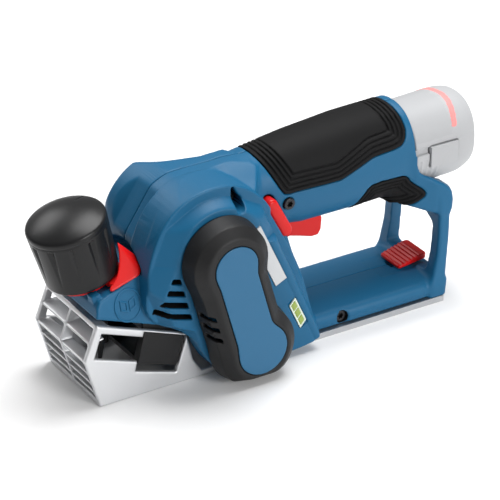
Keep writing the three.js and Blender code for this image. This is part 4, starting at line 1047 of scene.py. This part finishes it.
# ---------------------------------------------------------------- assembly

left, right = housing_halves()
dress(left, BLUE, "housing", "housing_plastic", "housing_left")
dress(right, BLUE, "housing", "housing_plastic", "housing_right")
# Painted shade: faces in the vent slots, the base screw's recess and the teardrop screw recess are painted
# near-black for the shade inside them.
paint_where(
    left,
    SHADOW,
    lambda x, y, z, n: ((vent_field(Points(x, y, z)) < 0.35) & (y > -35.6))
    | ((np.hypot(x - 38, z - 8.6) < 3.9) & (y > -27.2) & (y < -20))
    | ((np.hypot(x + 33.2, z - 101.5) < 5.5) & (y > -25.5) & (y < -19.6) & (z < 108)),
)
saddle, pad_left, pad_right = grips()
dress(saddle, RUBBER, "housing", "grip_rubber", "grip_saddle")
dress(pad_left, RUBBER, "housing", "grip_rubber", "grip_pad_left")
dress(pad_right, RUBBER, "housing", "grip_rubber", "grip_pad_right")
cover, inlay = belt_cover_pieces()
dress(cover, BLACK, "housing", "black_plastic", "belt_cover")
dress(inlay, INLAY, "housing", "housing_plastic", "cover_badge")
dress(knob_piece(), GLOSSY, "depth_knob", "black_plastic", "depth_knob")
dress(selector_piece(), RED, "chip_selector", "red_plastic", "chip_selector")
dress(shoe_piece(), CAST, "front_shoe", "cast_aluminium", "front_shoe")
dress(trigger_piece(), RED, "trigger", "red_plastic", "trigger")
dress(lock_piece(), RED, "lock_off_button", "red_plastic", "lock_off_button")
dress(lever_piece(), RED, "park_lever", "red_plastic", "park_lever")
pack, stripe = battery_piece()
dress(pack, PACK, "battery", "battery_plastic", "battery_shell")
dress(stripe, PACK_RED, "battery", "battery_plastic")
paint_where(pack, PACK_DARK, lambda x, y, z, n: (z > handle_z(x) + 6) & (x < RIM_X + 25) & (x > RIM_X))
dress(screw_piece("handle_torx", "handle_screw"), DARK_STEEL, "housing", "steel", "handle_screw")
dress(screw_piece("head_torx", "head_screw"), DARK_STEEL, "housing", "steel", "head_screw")
dress(screw_piece("base_torx", "base_screw"), DARK_STEEL, "housing", "steel", "base_screw")
dress(icon_piece(), BLUE, "housing", "housing_plastic")
rim, bars = gauge_pieces()
dress(rim, WHITE, "housing", "gauge_lens", "charge_gauge")
dress(bars, OLIVE, "housing", "gauge_lens")

replaced = {
    "housing_left", "housing_right", "grip_saddle", "grip_pad_left", "grip_pad_right", "belt_cover",
    "cover_badge",
    "depth_knob", "chip_selector", "front_shoe", "trigger", "lock_off_button", "park_lever", "battery_shell",
    "handle_screw", "head_screw", "base_screw", "charge_gauge",
}
for node, obj in frame["nodes"].items():
    if node in replaced:
        continue
    finish = SLOT_FINISH[NODE_SLOTS[node]]
    if not obj.data.materials:
        obj.data.materials.append(finish)
    for i in range(len(obj.material_slots)):
        obj.material_slots[i].material = finish
    soften = obj.modifiers.new("edge", "BEVEL")
    soften.width = 0.0002
    soften.segments = 2
    soften.limit_method = "ANGLE"
    soften.angle_limit = math.radians(40)


# ---------------------------------------------------------------- stage

floor_mesh = bpy.data.meshes.new("floor")
floor_mesh.from_pydata([(-4, -4, 0), (4, -4, 0), (4, 4, 0), (-4, 4, 0)], [], [(0, 1, 2, 3)])
floor = new_object("floor", floor_mesh)
floor.data.materials.append(material("floor_white", (0.9, 0.9, 0.9), 0.7, grain=60, bump=0.0, mottle=0.01))

world = bpy.data.worlds.new("studio")
world.use_nodes = True
world.node_tree.nodes["Background"].inputs["Color"].default_value = (1, 1, 1, 1)
world.node_tree.nodes["Background"].inputs["Strength"].default_value = 0.26
bpy.context.scene.world = world


def softbox(name, place_at, target, width, height, watts):
    """A soft rectangular light aimed at a point."""
    light = bpy.data.lights.new(name, "AREA")
    light.shape = "RECTANGLE"
    light.size, light.size_y = width, height
    light.energy = watts
    obj = bpy.data.objects.new(name, light)
    bpy.context.scene.collection.objects.link(obj)
    obj.location = place_at
    obj.rotation_euler = (Vector(target) - Vector(place_at)).to_track_quat("-Z", "Y").to_euler()


softbox("overhead", (0.2, 0.1, 0.95), (0.02, 0, 0.05), 0.7, 0.6, 11)
softbox("key", (0.3, -1.2, 0.5), (0, 0, 0.06), 0.5, 0.4, 10)
softbox("edge", (-0.25, 0.8, 0.7), (0, 0, 0.08), 0.5, 0.4, 3)

camera_data = bpy.data.cameras.new("camera")
camera_data.sensor_width = 36
camera_data.lens = 194.8
camera = bpy.data.objects.new("camera", camera_data)
bpy.context.scene.collection.objects.link(camera)
back = Vector((-0.4628, -0.7508, 0.4713)).normalized()
right_hand = Vector((0.8513, -0.5247, 0)).normalized()
upward = back.cross(right_hand)
turn = Matrix((right_hand, upward, back)).transposed().to_4x4()
camera.matrix_world = Matrix.Translation((-0.6872, -1.1066, 0.7450)) @ turn
bpy.context.scene.camera = camera
bpy.context.scene.view_settings.view_transform = "Standard"
